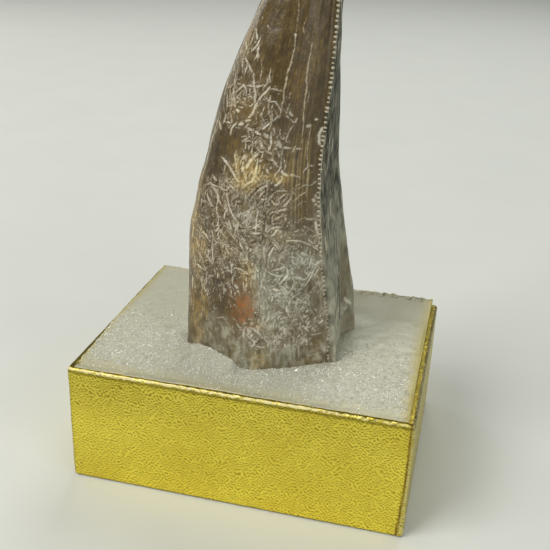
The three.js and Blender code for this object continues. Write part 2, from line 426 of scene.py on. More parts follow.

# %% [markdown]
# ## What the ground did to the enamel
#
# The crown lay in soil. Iron and manganese stained it in patches, weathering bleached a bluish zone near
# the root, and silt dried on the broken base. Stains could be painted by hand in texture paint mode, but
# that needs an image texture. Here each stain is a few soft ovals at their places on the surface, by
# distance round and height, and becomes a layer of the mesh. A swell in the strength frays its borders.
# The dark umber layer also holds painted shade along the serrated keel and beside it on the rear face.

# %% Soft patches
def patch(round_at, up_at, half_width, half_height, lean=0.0):
    """A soft oval from 1 at its middle to 0 outside: exp(-r^4) of the scaled distance r. lean turns it
    clockwise, in degrees."""
    away = (u - round_at + girth / 2) % girth - girth / 2
    up = z - up_at
    c, s = math.cos(math.radians(lean)), math.sin(math.radians(lean))
    r = np.hypot((away * c + up * s) / half_width, (up * c - away * s) / half_height)
    return np.exp(-(r**4))


def strongest(*patches):
    """The patches laid over each other, each point keeping the strongest one."""
    return highest(*(strength * patch(*where) for strength, where in patches))


print("a patch 3 mm wide covers", round(float(patch(10, 40, 1.5, 1.5).mean()), 5), "of the crown's points")

# %% Stains, placed by distance round and height in mm: strength, (round, up, half width, half height, lean)
stains = {
    # fine root etching
    "etching": strongest(
        (0.55, (11, 61.5, 6.5, 4)), (0.5, (8.5, 55.5, 4, 3)), (1.0, (10.5, 46.5, 6.5, 6.5, 20)),
        (0.9, (13.5, 39, 6, 5)), (0.8, (4.5, 34.5, 6, 8)), (0.6, (19, 34, 4.5, 9)),
        (0.75, (9, 25.5, 8, 3.6)), (0.45, (14.5, 66.5, 2.2, 5)), (0.5, (24, 56, 2, 12)),
        (0.7, (33, 40, 8, 13)), (0.5, (36, 62, 5, 7)), (0.6, (46, 32, 7, 9)), (0.35, (44, 50, 5, 8)),
    ),
    # bluish pale weathering
    "bleaching": strongest(
        (0.95, (7.3, 33.5, 2.4, 5.8)), (0.8, (3.4, 37.2, 3.0, 3.2)), (0.55, (3.0, 31.0, 2.8, 5.0)),
        (0.7, (8.8, 29.0, 2.6, 1.3)), (1.0, (13.8, 22.1, 0.8, 1.9)), (0.55, (6.6, 22.4, 2.8, 2.4)),
        (0.95, (9.6, 32.0, 1.3, 7.5)), (0.25, (11.5, 44.6, 3.4, 4.0)), (0.4, (6.2, 40.5, 4.0, 3.6)),
        (0.5, (10.5, 25.5, 3.6, 2.2)), (0.6, (0.5, 56.6, 0.4, 1.3)), (0.9, (-12.8, 26, 1.2, 3.0)),
        (0.5, (-10.6, 42, 1.0, 9)), (0.6, (38, 30, 6, 6)), (0.4, (34, 52, 4, 6)),
    ),
    # a pale olive film of silt, thickest at the base
    "silt": strongest(
        (1.0, (10, 19.4, 17, 7.2)), (0.55, (8.6, 29.5, 4.4, 6.5)), (0.95, (9.7, 31.0, 1.7, 7.5)),
        (1.0, (-8, 19, 9, 9)), (0.75, (0.1, 30, 0.9, 16)), (0.8, (18.5, 24.5, 5, 4)),
        (0.75, (8.2, 39.0, 3.2, 2.0)), (0.45, (-6, 30, 8, 9)), (0.8, (-1.4, 27, 1.7, 9)),
        (0.4, (-5, 39, 8, 6)), (0.6, (38, 22, 14, 6)), (0.4, (58, 24, 8, 8)),
    ),
    # straight growth lines, picked out by stain
    "growth": strongest(
        (0.8, (3.4, 50.6, 2.3, 6.8)), (0.2, (3.6, 64, 2.0, 5)), (0.3, (9.6, 27.5, 1.2, 6)),
        (0.3, (23, 40, 2, 8)),
    ),
    # yellow ochre
    "ochre": strongest(
        (1.0, (11.1, 51.3, 2.8, 2.7, -12)), (0.95, (7.0, 50.8, 1.2, 0.8)), (1.0, (5.4, 50.8, 0.9, 0.7)),
        (0.35, (12.6, 59.8, 2.6, 1.8)), (0.6, (20.4, 39.8, 1.6, 2.8)), (0.8, (20.9, 29.4, 0.9, 2.6)),
        (0.7, (22.0, 42, 2.4, 9)), (0.65, (10.0, 27.8, 1.3, 1.0)), (0.6, (11.4, 21.8, 1.5, 2.2)),
        (0.4, (2.1, 23.8, 1.0, 1.3)), (0.3, (3.0, 21.0, 2.4, 0.9)), (0.6, (23.4, 26.5, 1.8, 5.5)),
        (0.25, (15.0, 40.6, 2.4, 2.6)), (0.4, (14, 69, 1.5, 3)), (0.2, (3.8, 51.4, 2.0, 5.0)),
        (0.5, (11.4, 36.0, 1.6, 2.6)), (0.4, (6.0, 42.0, 2.0, 1.4)), (0.4, (2.6, 68.5, 1.0, 4)),
        (0.4, (13.4, 54.6, 1.4, 2.4)), (0.6, (30, 33, 3, 5)), (0.5, (40, 45, 3, 5)),
    ),
    # rust
    "rust": strongest(
        (0.95, (12.8, 30.7, 1.8, 3.0)), (0.5, (13.0, 30.6, 2.7, 4.2)), (0.2, (14.7, 59.4, 0.5, 3.0)),
        (0.1, (4.8, 63.5, 1.4, 4)), (0.12, (14.5, 47, 1.2, 4)), (0.5, (37, 37, 1.6, 2.4)),
    ),
    # clean enamel, where the roots didn't reach
    "clean": strongest(
        (0.9, (17.0, 51.8, 2.0, 3.0, 10)), (0.8, (1.4, 31.2, 1.2, 2.5)), (1.0, (2.1, 23.9, 1.2, 1.5)),
        (0.8, (3.4, 45.2, 2.4, 2.6)), (0.7, (17.4, 30.5, 1.8, 3.0)), (0.7, (8.3, 26.8, 0.7, 0.6)),
        (0.8, (18.5, 24.6, 6.0, 2.4)), (0.95, (12.9, 31.0, 1.6, 2.8)), (0.5, (5.4, 38.2, 0.7, 1.2)),
        (0.75, (9, 21.6, 8, 2.4)), (0.8, (2.5, 21.3, 3, 0.9)), (0.7, (7.0, 49.0, 0.9, 0.9)),
    ),
    # an even film of brown soil on the root's rear corner
    "loam": strongest((1.0, (-10.4, 31.6, 1.9, 5.6, -8)), (0.8, (-12.2, 22.0, 2.6, 2.2))),
    # umber stains, and painted shade beside the keel on the rear face (the long ovals at -1.3 and -3.6)
    "umber_and_keel_shade": strongest(
        (0.85, (16.6, 33.8, 3.0, 3.2)), (0.25, (17.4, 29.6, 1.4, 2.4)), (0.8, (19.6, 33.2, 1.5, 2.0)),
        (0.6, (17, 51.4, 2.4, 3.4)), (0.65, (12.4, 55.8, 1.6, 2.4)), (0.5, (6.6, 60.0, 1.6, 2.0)),
        (0.6, (8.3, 26.8, 0.7, 0.6)), (0.45, (7, 60, 3.5, 3.0)), (0.5, (7.0, 49.0, 1.0, 1.0)),
        (0.35, (2.1, 23.9, 1.1, 1.4)), (0.6, (4.5, 23.3, 0.5, 0.7)), (0.5, (14.6, 56.5, 3.0, 5.0)),
        (0.5, (17.4, 42.0, 2.6, 3.0)), (0.4, (15, 49.6, 1.4, 1.0)), (0.5, (42, 38, 3, 4)),
        (0.4, (33, 60, 3, 5)), (0.95, (14.6, 36.3, 1.8, 1.9)), (1.0, (19.8, 43.2, 1.7, 3.4)),
        (0.4, (13.4, 42.0, 1.8, 1.6)), (0.75, (-1.3, 58, 0.8, 26)), (0.6, (-3.6, 62, 4.0, 26)),
        (0.5, (2.0, 68, 1.6, 8)),
    ),
}

# %% Frayed borders, the painted shade of the keel and the rear face
ragged_edge = 0.25 * swell(crown, 3.1, 20) + 0.2 * swell(crown, 1.3, 21)
for name in stains:
    stains[name] = np.clip(stains[name] * (1 + 2.0 * ragged_edge), 0, 1)
stains["etching"] *= 1 - stains["clean"]
# Between and beside the serrations the keel is painted dark, as painted shade.
stains["umber_and_keel_shade"] = np.maximum(stains["umber_and_keel_shade"], 0.85 * np.exp(-((from_edge / 0.35) ** 2)))
# The rear face looks back along the jaw. It is greyer and smoother than the rest.
stains["rear"] = smooth(outward[..., 0], 0.35, 0.75) * smooth(u / girth, 0.6, 0.78)
print("stains:", {name: round(float(layer.mean()), 3) for name, layer in stains.items()})

# %% [markdown]
# ## Root marks and cracks
#
# Fine roots etched the enamel with hundreds of pale, short, curved marks, and it has long thin cracks,
# some filled with cream silt and some dark. They could be thousands of little curves, but they have no
# thickness of their own. So each is a trail of overlapping dots, drawn into a layer of the mesh: 1 along
# the middle of a mark, falling to 0 at its edge, and less for a faint one. A new mark first clears a
# thin gap beside itself, so crossing marks stay apart like strands of hair.
#
# Most marks are scattered in clusters, each with its own place, crowding, heading and length. The bold
# strokes and the cracks that make this tooth what it is are laid one by one, by the points they pass.

# %% Dots, and marks over marks
REACH_ROWS, REACH_COLUMNS = 3, 4  # how many mesh points away a dot of a mark is still drawn
GAP_WIDTH, GAP_DEPTH = 1.7, 0.9  # of the gap beside a mark: in widths of the mark, and share cleared


def stamp(layer, dot_u, dot_z, dot_radius, strength=1.0):
    """Draws round dots into a layer: strength x (1 - (distance / radius)^2). Each grid point keeps the
    largest value of the dots near it, so a trail of overlapping dots becomes one ridge."""
    dot_row = np.clip(np.rint(np.interp(dot_z, row_z[:, 0], np.arange(ROWS))).astype(int), 0, ROWS - 1)
    share = (dot_u / girth[dot_row, 0]) % 1
    dot_column = np.rint(np.interp(share, share_round, np.arange(COLUMNS))).astype(int)
    for row_off in range(-REACH_ROWS, REACH_ROWS + 1):
        row = np.clip(dot_row + row_off, 0, ROWS - 1)
        for column_off in range(-REACH_COLUMNS, REACH_COLUMNS + 1):
            column = (dot_column + column_off) % COLUMNS
            around = girth[row, 0]
            away = (u[row, column] - dot_u + around / 2) % around - around / 2
            distance = np.hypot(away, row_z[row, 0] - dot_z)
            np.maximum.at(layer, (row, column), strength * (1 - (distance / dot_radius) ** 2))


def lay_over(layer, dot_u, dot_z, dot_radius, strength):
    """Lays marks over those already in a layer: the old layer times 1 - depth x a wider copy of the new
    marks, and then the larger of that and the new marks."""
    marks, gap = np.zeros(layer.shape), np.zeros(layer.shape)
    stamp(marks, dot_u, dot_z, dot_radius, strength)
    stamp(gap, dot_u, dot_z, dot_radius * GAP_WIDTH)
    layer *= 1 - GAP_DEPTH * smooth(gap, 0.0, 0.45)
    np.maximum(layer, marks, out=layer)


row_mm, column_mm = np.diff(row_z[:, 0]).mean(), np.diff(u[ROWS // 3]).min()
print(f"mesh points {row_mm:.2f} mm apart up the crown, and down to {column_mm:.2f} mm round it")

# %% The courses of marks
TRAIL_DOTS = 40


def trails(dice, centre_u, centre_z, spread_u, spread_z, count, heading, scatter, length, radius):
    """Dots along count curved marks scattered round a centre. Each mark sets out at its own heading, in
    degrees above the direction round the tooth, and turns at a steady rate with a slow wobble; its place
    is the running sum of the cosine and sine of that course. It thins and fades towards its ends with
    the cube of the way. Returns the dots' places, radii and strengths."""
    mark_length = length * dice.lognormal(0, 0.45, (count, 1)).clip(None, 1.9)
    way = np.linspace(-0.5, 0.5, TRAIL_DOTS) * mark_length
    bend = dice.normal(0, 0.19, (count, 1))
    wobble = dice.normal(0, 0.24, (count, 1)) * np.sin(way * 2.6 + dice.uniform(0, 6.3, (count, 1)))
    course = np.radians(dice.normal(heading, scatter, (count, 1))) + bend * way + wobble
    step = mark_length / TRAIL_DOTS
    dot_u = centre_u + dice.normal(0, spread_u, (count, 1)) + np.cumsum(np.cos(course), axis=1) * step
    dot_z = centre_z + dice.normal(0, spread_z, (count, 1)) + np.cumsum(np.sin(course), axis=1) * step
    to_end = np.abs(2 * way / mark_length)
    dot_radius = radius * dice.lognormal(0.03, 0.25, (count, 1)).clip(None, 1.5) * (1 - 0.4 * to_end**3)
    strength = dice.uniform(0.45, 1.1, (count, 1)) * (1 - 0.5 * to_end**3)
    kept = (dot_z > BREAK_Z + 0.2) & (dot_z < CROWN_Z - 3)
    return dot_u[kept], dot_z[kept], dot_radius[kept], strength[kept]


def line(points, radius, strength=1.0, dots_per_mm=12):
    """Dots along a Catmull-Rom curve through a few points (distance round, height), as trails returns them:
    a little uneven in place, width and strength by swells of about 1 mm, and thinner at the very ends."""
    points = np.array(points, float)
    length = np.hypot(*np.diff(points, axis=0).T).sum()
    course = curve_through(points, np.linspace(0, len(points) - 1, int(length * dots_per_mm)))
    wobble = swell(course, 2.3, 30) * 0.06 + swell(course, 0.9, 33) * 0.03
    to_end = np.abs(np.linspace(-1, 1, len(course)))
    uneven = radius * (1 + 0.3 * swell(course, 1.1, 31)) * (1 - 0.4 * to_end**6)
    return course[:, 0] + wobble, course[:, 1], uneven, strength * (1 + 0.18 * swell(course, 0.8, 32))


print("a stroke of 2 mm has", len(line([(5, 40), (7, 40)], 0.2)[0]), "dots")

# %% Clusters of root marks
ROOT_MARKS = [  # centre round and up, spread round and up, how many, heading, scatter, length, radius
    (11.5, 61.6, 2.6, 1.5, 24, 40, 45, 2.2, 0.16),
    (9.6, 58.8, 2.6, 1.0, 24, 20, 60, 1.6, 0.15),
    (13.6, 65.4, 1.1, 2.4, 14, 75, 30, 2.6, 0.18),
    (8.4, 56.0, 1.8, 1.1, 34, 25, 60, 1.6, 0.165),
    (9.6, 53.4, 1.2, 1.2, 22, 70, 35, 1.8, 0.18),
    (9.8, 50.4, 2.0, 1.2, 76, 60, 45, 1.8, 0.19),
    (12.4, 47.2, 2.4, 1.4, 48, 135, 20, 4.4, 0.2),
    (8.8, 46.2, 2.2, 1.2, 36, 162, 18, 4.2, 0.2),
    (6.4, 45.2, 1.4, 1.4, 22, 170, 18, 3.4, 0.18),
    (11.6, 43.6, 2.6, 1.5, 48, 152, 22, 4.4, 0.2),
    (16.4, 46.6, 1.4, 1.6, 40, 62, 20, 3.2, 0.2),
    (11.6, 50.8, 1.2, 1.4, 40, 105, 24, 2.2, 0.19),
    (9.6, 41.4, 1.8, 1.9, 44, 70, 50, 2.4, 0.19),
    (12.6, 39.8, 2.2, 2.0, 50, 50, 24, 3.8, 0.2),
    (17.4, 39.0, 1.8, 2.4, 66, 55, 20, 3.8, 0.19),
    (5.2, 42.6, 2.6, 1.0, 36, 165, 30, 2.4, 0.18),
    (4.6, 38.4, 2.4, 1.8, 90, 35, 45, 2.0, 0.18),
    (1.6, 36.0, 1.2, 1.4, 40, 128, 16, 2.2, 0.17),
    (3.8, 32.6, 1.8, 2.4, 66, 80, 40, 2.2, 0.19),
    (7.4, 34.0, 1.6, 3.6, 76, 80, 30, 2.4, 0.2),
    (10.8, 37.6, 1.4, 2.6, 50, 80, 25, 2.2, 0.17),
    (20.4, 36.4, 2.0, 2.6, 70, 72, 22, 2.8, 0.18),
    (16.0, 33.4, 2.0, 2.4, 40, 80, 25, 2.0, 0.17),
    (7.0, 28.6, 2.6, 1.6, 70, 60, 45, 2.0, 0.19),
    (9.8, 31.0, 1.2, 3.6, 90, 88, 20, 2.0, 0.185),
    (12.2, 25.6, 2.6, 1.6, 60, 60, 40, 1.8, 0.18),
    (9.0, 24.8, 3.2, 1.2, 40, 85, 30, 1.6, 0.2),
    (3.2, 28.0, 2.0, 1.6, 36, 70, 45, 1.8, 0.18),
    (6.5, 24.4, 2.6, 1.0, 40, 20, 50, 1.6, 0.16),
    (20.5, 62.0, 1.4, 6.5, 26, 85, 22, 3.6, 0.2),
    (20.0, 52.5, 1.6, 4.5, 30, 85, 22, 2.8, 0.19),
    (21.0, 43.5, 1.6, 3.6, 18, 85, 20, 3.0, 0.18),
    (21.5, 28.0, 2.0, 3.0, 36, 85, 20, 2.2, 0.17),
    (15.8, 58.4, 1.0, 2.4, 14, 85, 20, 3.0, 0.11),
]
print(sum(cluster[4] for cluster in ROOT_MARKS), "scattered marks in", len(ROOT_MARKS), "clusters")

# %% Bold strokes, one by one
BOLD_MARKS = [  # points along the mark, radius, strength
    # the crossed strokes on the ochre patch
    ([(15.9, 52.9), (14.3, 51.8), (13.2, 50.7), (12.3, 49.8)], 0.26, 1.0),
    ([(9.1, 55.0), (9.9, 54.1), (10.7, 53.1), (11.2, 52.0)], 0.36, 1.0),
    ([(10.9, 54.6), (9.9, 54.3)], 0.16, 0.8),
    ([(14.9, 49.8), (14.2, 49.3), (13.2, 48.6)], 0.2, 1.0),
    ([(18.1, 48.6), (17.2, 48.3), (15.9, 48.3), (14.3, 48.1)], 0.19, 0.9),
    ([(17.6, 49.7), (16.6, 49.1)], 0.22, 0.7),
    ([(8.0, 50.2), (8.1, 48.2)], 0.17, 0.9),
    ([(10.2, 51.4), (9.0, 50.3)], 0.17, 0.8),
    # the tangle higher up
    ([(15.0, 64.6), (14.9, 62.6), (14.3, 60.6), (13.7, 59.7)], 0.22, 1.0),
    ([(13.8, 59.9), (13.4, 59.7)], 0.32, 1.0),
    ([(14.5, 62.0), (13.7, 62.8), (13.0, 63.4), (12.5, 62.8), (12.6, 62.1)], 0.2, 0.9),
    ([(12.8, 61.7), (12.6, 61.5)], 0.26, 0.8),
    ([(13.4, 66.9), (12.6, 66.2), (11.9, 65.3)], 0.24, 1.0),
    ([(11.7, 65.2), (11.4, 63.6), (11.0, 62.2), (11.0, 61.2), (11.7, 60.7)], 0.2, 0.9),
    ([(9.1, 66.4), (9.2, 65.2), (9.0, 64.2)], 0.17, 0.8),
    ([(9.6, 64.0), (9.9, 63.5)], 0.2, 0.9),
    ([(8.7, 63.4), (7.2, 63.3)], 0.18, 0.9),
    ([(9.0, 63.6), (10.1, 62.2), (10.8, 60.9), (11.2, 59.7), (12.0, 58.8)], 0.22, 0.95),
    ([(8.9, 61.6), (8.1, 61.7), (7.6, 61.2), (7.0, 60.4)], 0.18, 0.75),
    ([(9.6, 60.9), (9.8, 59.7)], 0.17, 0.7),
    ([(14.5, 56.2), (14.2, 57.4), (13.3, 58.3), (12.2, 58.6), (11.2, 58.9)], 0.2, 0.9),
    ([(13.2, 57.9), (12.5, 58.2)], 0.42, 0.8),
    ([(11.7, 57.6), (10.5, 57.4), (9.6, 57.0), (8.5, 56.3), (7.8, 56.0)], 0.25, 1.0),
    ([(9.1, 57.1), (8.2, 56.6)], 0.36, 0.8),
    ([(12.5, 55.6), (11.2, 56.5)], 0.18, 0.8),
    ([(9.4, 57.8), (8.6, 58.6)], 0.25, 1.0),
    ([(10.7, 57.6), (10.6, 55.8), (10.6, 54.2), (10.0, 53.2)], 0.17, 0.8),
    ([(9.7, 56.2), (9.3, 55.5), (8.8, 55.0)], 0.2, 0.95),
    ([(9.9, 55.1), (9.4, 54.6), (8.8, 54.6)], 0.19, 0.95),
    ([(8.1, 57.2), (7.9, 55.8), (8.2, 54.8)], 0.19, 0.9),
    ([(7.6, 54.9), (6.6, 55.2), (5.6, 55.2), (4.4, 55.0), (3.2, 55.0)], 0.2, 0.8),
    ([(7.1, 55.7), (6.4, 55.4)], 0.36, 0.85),
    ([(6.1, 55.0), (6.3, 53.8)], 0.18, 0.8),
    ([(5.8, 60.3), (5.4, 59.7)], 0.2, 0.9),
    ([(5.8, 59.4), (5.2, 59.0), (4.8, 58.8), (4.6, 59.4)], 0.19, 0.8),
    ([(4.9, 58.5), (5.5, 57.6), (5.8, 56.3)], 0.18, 0.75),
    ([(7.2, 57.0), (7.2, 56.7)], 0.26, 0.8),
    ([(3.0, 58.2), (2.1, 58.2)], 0.24, 0.8),
    ([(1.7, 59.1), (1.2, 59.0)], 0.2, 1.0),
    # single strokes lower down
    ([(4.6, 54.6), (4.3, 55.4)], 0.2, 0.9),
    ([(6.9, 54.7), (6.4, 53.7)], 0.18, 0.8),
    ([(2.7, 51.4), (2.2, 52.0), (1.6, 52.3), (0.8, 52.2)], 0.18, 0.75),
    ([(7.3, 47.6), (7.0, 47.0), (6.5, 47.0), (6.3, 47.5)], 0.17, 0.9),
    ([(7.6, 45.7), (6.4, 46.0), (5.2, 46.2)], 0.18, 0.95),
    ([(5.7, 45.6), (5.3, 44.5)], 0.18, 0.9),
    ([(4.3, 48.8), (3.8, 48.2)], 0.16, 0.8),
    ([(2.6, 43.4), (1.8, 43.0), (0.9, 42.3)], 0.18, 0.75),
    ([(5.8, 41.3), (4.4, 41.4), (2.8, 41.0), (1.4, 40.2), (0.2, 39.2)], 0.2, 0.9),
    ([(0.3, 37.8), (1.6, 35.8), (2.6, 34.4)], 0.19, 0.9),
    ([(0.3, 36.6), (1.4, 35.0)], 0.18, 0.9),
    ([(1.0, 33.8), (2.1, 32.9), (2.6, 31.6), (2.5, 30.0), (1.4, 28.6), (0.4, 27.9)], 0.17, 0.6),
    ([(3.2, 39.3), (1.8, 38.6)], 0.32, 0.7),
    ([(5.1, 25.0), (5.0, 23.4), (5.1, 21.9)], 0.16, 0.75),
    ([(3.6, 22.1), (2.4, 22.2), (0.9, 22.4)], 0.15, 0.6),
    # upright scratches of the broken base
    ([(6.2, 23.4), (6.3, 20.8)], 0.14, 0.45),
    ([(7.4, 24.2), (7.3, 21.2)], 0.15, 0.5),
    ([(9.4, 24.6), (9.3, 22.4), (9.5, 20.6)], 0.15, 0.5),
    ([(10.8, 24.0), (10.7, 21.6)], 0.14, 0.45),
    ([(11.9, 23.6), (11.7, 21.4)], 0.15, 0.5),
    ([(14.7, 24.6), (13.9, 22.6), (13.3, 20.6)], 0.16, 0.65),
    ([(17.6, 24.8), (16.4, 23.8), (15.2, 23.4)], 0.15, 0.45),
    ([(3.5, 25.3), (3.4, 24.0), (3.6, 22.4)], 0.16, 0.5),
    ([(0.9, 25.8), (2.0, 25.6), (3.4, 25.8), (4.6, 25.4)], 0.18, 0.6),
    # broken smears in the bleached band
    ([(8.9, 34.4), (8.6, 33.2), (9.0, 32.3)], 0.24, 0.6),
    ([(9.8, 32.9), (9.3, 31.4), (9.5, 30.6)], 0.22, 0.6),
    ([(10.2, 36.3), (9.8, 34.9), (10.1, 33.8)], 0.24, 0.65),
    ([(9.0, 36.9), (9.4, 35.3)], 0.26, 0.6),
    ([(8.4, 31.2), (8.1, 30.0), (8.5, 29.1)], 0.2, 0.6),
    ([(10.0, 29.6), (10.5, 28.2)], 0.2, 0.6),
    ([(9.4, 28.4), (9.0, 27.2), (9.4, 26.2)], 0.22, 0.65),
    ([(17.2, 35.2), (17.2, 34.3)], 0.2, 0.9),
    ([(17.1, 31.8), (17.0, 30.9)], 0.22, 0.8),
    ([(10.3, 71.8), (9.7, 71.2)], 0.17, 0.7),
    ([(11.5, 72.7), (11.2, 72.3)], 0.17, 0.7),
    ([(5.95, 70.9), (5.9, 70.6)], 0.26, 1.0),
    ([(14.3, 69.0), (13.7, 68.2)], 0.32, 0.9),
    # crust beside the serrations, and a thin one along the keel
    ([(0.05, 21.0), (0.15, 30.0), (0.05, 38.0), (0.1, 46.0)], 0.2, 0.5),
    ([(-0.34, 37.0), (-0.36, 47.0), (-0.34, 57.0)], 0.2, 0.85),
    ([(-0.34, 60.0), (-0.36, 68.0), (-0.34, 76.0)], 0.17, 0.6),
    ([(0.4, 55.4), (0.55, 56.6), (0.35, 57.8)], 0.34, 0.8),
    ([(0.3, 46.2), (0.35, 48.0)], 0.3, 0.85),
    ([(0.8, 47.2), (0.5, 46.8)], 0.26, 0.9),
    ([(0.3, 41.6), (0.4, 43.8)], 0.3, 0.8),
    # pale marks along the edge of the outline, partly root marks and partly a painted sheen of grazing
    #  light, and long pale strips of the rear face
    ([(11.4, 76.0), (14.2, 71.8), (15.8, 67.7), (17.0, 64.5), (17.6, 61.2)], 0.3, 0.85),
    ([(18.0, 59.2), (18.2, 57.0), (18.9, 54.2), (19.5, 51.6), (20.2, 48.6)], 0.24, 0.8),
    ([(20.6, 47.0), (20.9, 45.0), (21.7, 42.6)], 0.28, 0.7),
    ([(16.6, 65.8), (16.2, 64.9)], 0.42, 0.9),
    ([(15.6, 68.0), (15.1, 67.2)], 0.34, 0.8),
    ([(17.4, 57.6), (16.6, 56.6)], 0.36, 0.9),
    ([(-12.7, 29.0), (-11.9, 36.0), (-10.4, 45.0)], 0.4, 0.6),
    ([(-10.8, 27.2), (-11.8, 26.4), (-13.0, 25.4)], 0.5, 0.8),
    ([(-10.4, 25.6), (-11.8, 24.8)], 0.4, 0.6),
    ([(-9.6, 47.0), (-8.2, 56.0), (-6.4, 66.0), (-5.0, 74.0)], 0.5, 0.6),
]
print(len(BOLD_MARKS), "bold strokes")

# %% Cracks, one by one
CREAM_CRACKS = [  # as BOLD_MARKS, filled with pale silt
    ([(6.3, 78.5), (5.8, 74.5), (5.9, 71.0)], 0.17, 0.55),
    ([(5.9, 70.6), (6.1, 68.2), (6.6, 65.9), (6.9, 63.6), (7.0, 61.4), (7.2, 59.5)], 0.17, 0.95),
    ([(4.6, 73.0), (4.9, 71.4), (4.3, 70.2), (3.6, 69.6)], 0.17, 0.6),
    (
        [(3.5, 69.8), (3.7, 68.2), (3.9, 65.7), (3.7, 63.6), (3.75, 61.2), (3.6, 58.8), (3.2, 55.6)],
        0.17, 0.95,
    ),
    ([(3.3, 63.4), (3.2, 61.6)], 0.17, 0.8),
    ([(2.2, 58.0), (2.2, 54.4), (1.8, 51.8), (1.9, 48.0)], 0.18, 0.8),
    ([(8.6, 57.4), (8.3, 58.8), (8.9, 61.0), (8.7, 62.6)], 0.18, 0.8),
    ([(10.6, 67.5), (10.4, 65.0), (10.8, 62.0), (10.4, 58.5)], 0.17, 0.7),
    ([(12.0, 77.0), (12.2, 73.4), (12.6, 70.4), (13.3, 67.4)], 0.18, 0.8),
    ([(14.2, 77.5), (14.6, 74.4), (15.1, 71.0)], 0.17, 0.7),
    ([(14.6, 58.0), (14.9, 61.0), (15.0, 64.0)], 0.18, 0.7),
]
DARK_CRACKS = [  # as BOLD_MARKS, open and dark
    ([(8.0, 49.4), (8.5, 46.8), (8.3, 45.0), (8.9, 42.4), (9.2, 40.9)], 0.16, 0.75),
    ([(9.1, 40.2), (9.4, 38.2), (9.9, 36.0), (10.0, 34.2)], 0.15, 0.65),
    ([(10.6, 33.0), (10.5, 30.2), (10.7, 27.4)], 0.14, 0.55),
    ([(5.35, 24.8), (5.3, 23.0), (5.45, 21.0)], 0.18, 0.9),
    ([(9.0, 24.6), (8.9, 22.4), (9.1, 20.8)], 0.15, 0.55),
    ([(12.9, 25.4), (12.6, 22.8), (12.9, 20.6)], 0.16, 0.6),
    ([(11.3, 23.8), (11.2, 21.2)], 0.15, 0.45),
    ([(10.1, 48.6), (9.4, 47.3), (8.6, 47.0)], 0.18, 0.7),
    ([(13.2, 58.2), (13.6, 56.4), (14.0, 54.6)], 0.18, 0.6),
    ([(-7.4, 38.0), (-8.1, 31.0), (-8.8, 24.0)], 0.4, 0.8),
    ([(24.0, 66.0), (25.5, 56.0), (27.0, 40.0), (28.0, 26.0)], 0.5, 0.8),
    ([(33.0, 70.0), (38.0, 56.0), (41.0, 44.0)], 0.5, 0.8),
]
REAR_CRACKS = [  # as ROOT_MARKS: the rear face has long dark cracks with pale lips
    (-2.4, 54, 1.1, 9, 56, 88, 9, 2.4, 0.26),
    (-5.6, 47, 1.8, 8, 40, 88, 10, 2.8, 0.26),
    (-6.0, 28, 1.8, 5, 16, 86, 10, 2.2, 0.24),
    (-2.6, 74, 1.1, 8, 26, 88, 9, 2.2, 0.24),
]
LIP_RADIUS = 0.24  # mm
print(len(CREAM_CRACKS), "cream cracks and", len(DARK_CRACKS), "dark ones")

# %% Lay the marks
BATCHES = 4  # each cluster's marks are laid in this many goes, so that neighbouring clusters interweave
dice = np.random.default_rng(11)
lines = {name: np.zeros(u.shape) for name in ("root_marks", "cream_cracks", "dark_cracks")}
for batch in range(BATCHES):
    for *spread, count, heading, scatter, length, radius in ROOT_MARKS:
        some = math.ceil(count / BATCHES)
        lay_over(lines["root_marks"], *trails(dice, *spread, some, heading, scatter, length, radius))
# Clean enamel has only the faintest of the scattered marks, and the rear face has none.
lines["root_marks"] *= 1 - 0.75 * stains.pop("clean")
lines["root_marks"] *= stains["rear"] < 0.5
for points, radius, strength in BOLD_MARKS:
    lay_over(lines["root_marks"], *line(points, radius, strength))
for layer, marks in (("cream_cracks", CREAM_CRACKS), ("dark_cracks", DARK_CRACKS)):
    for points, radius, strength in marks:
        stamp(lines[layer], *line(points, radius, strength))
rear_dark, rear_pale = np.zeros(u.shape), np.zeros(u.shape)
for cluster in REAR_CRACKS:
    stamp(rear_dark, *trails(dice, *cluster))
    lay_over(rear_pale, *trails(dice, *cluster[:4], cluster[4] // 3, *cluster[5:8], LIP_RADIUS))
for name, marks in (("dark_cracks", rear_dark), ("root_marks", rear_pale)):
    lines[name] = np.maximum(lines[name], marks * (stains["rear"] > 0.5))

# %% The crust between crowded marks: the share of marked points nearby, by repeated averaging
MARKED = 0.3  # a layer's value from which a point counts as marked
AVERAGINGS = 24

crust = (lines["root_marks"] > MARKED).astype(float)
for _ in range(AVERAGINGS):
    crust = (np.roll(crust, 1, 1) + 2 * crust + np.roll(crust, -1, 1)) / 4
    crust[1:-1] = (crust[:-2] + 2 * crust[1:-1] + crust[2:]) / 4
lines["crust"] = smooth(crust, 0.04, 0.36)
print("marked share:", round(float((lines["root_marks"] > MARKED).mean()), 3))

# %% [markdown]
# ## Serrations
#
# Under a lens the serrated edge is a row of small chisel-ended beads (denticles), about seven in five
# millimetres, each wider across the edge than along it. A displacement could only draw them as bumps,
# but separate beads that sink into the keel give true gaps and glints. One bead is a rounded box (a
# superellipsoid), and it is placed along the keel by whole arrays: every bead has its own frame, size
# and wear. A second, finer row runs up the front edge, as on any such tooth.

# %% One bead
BEAD_RINGS, BEAD_SIDES = 7, 10


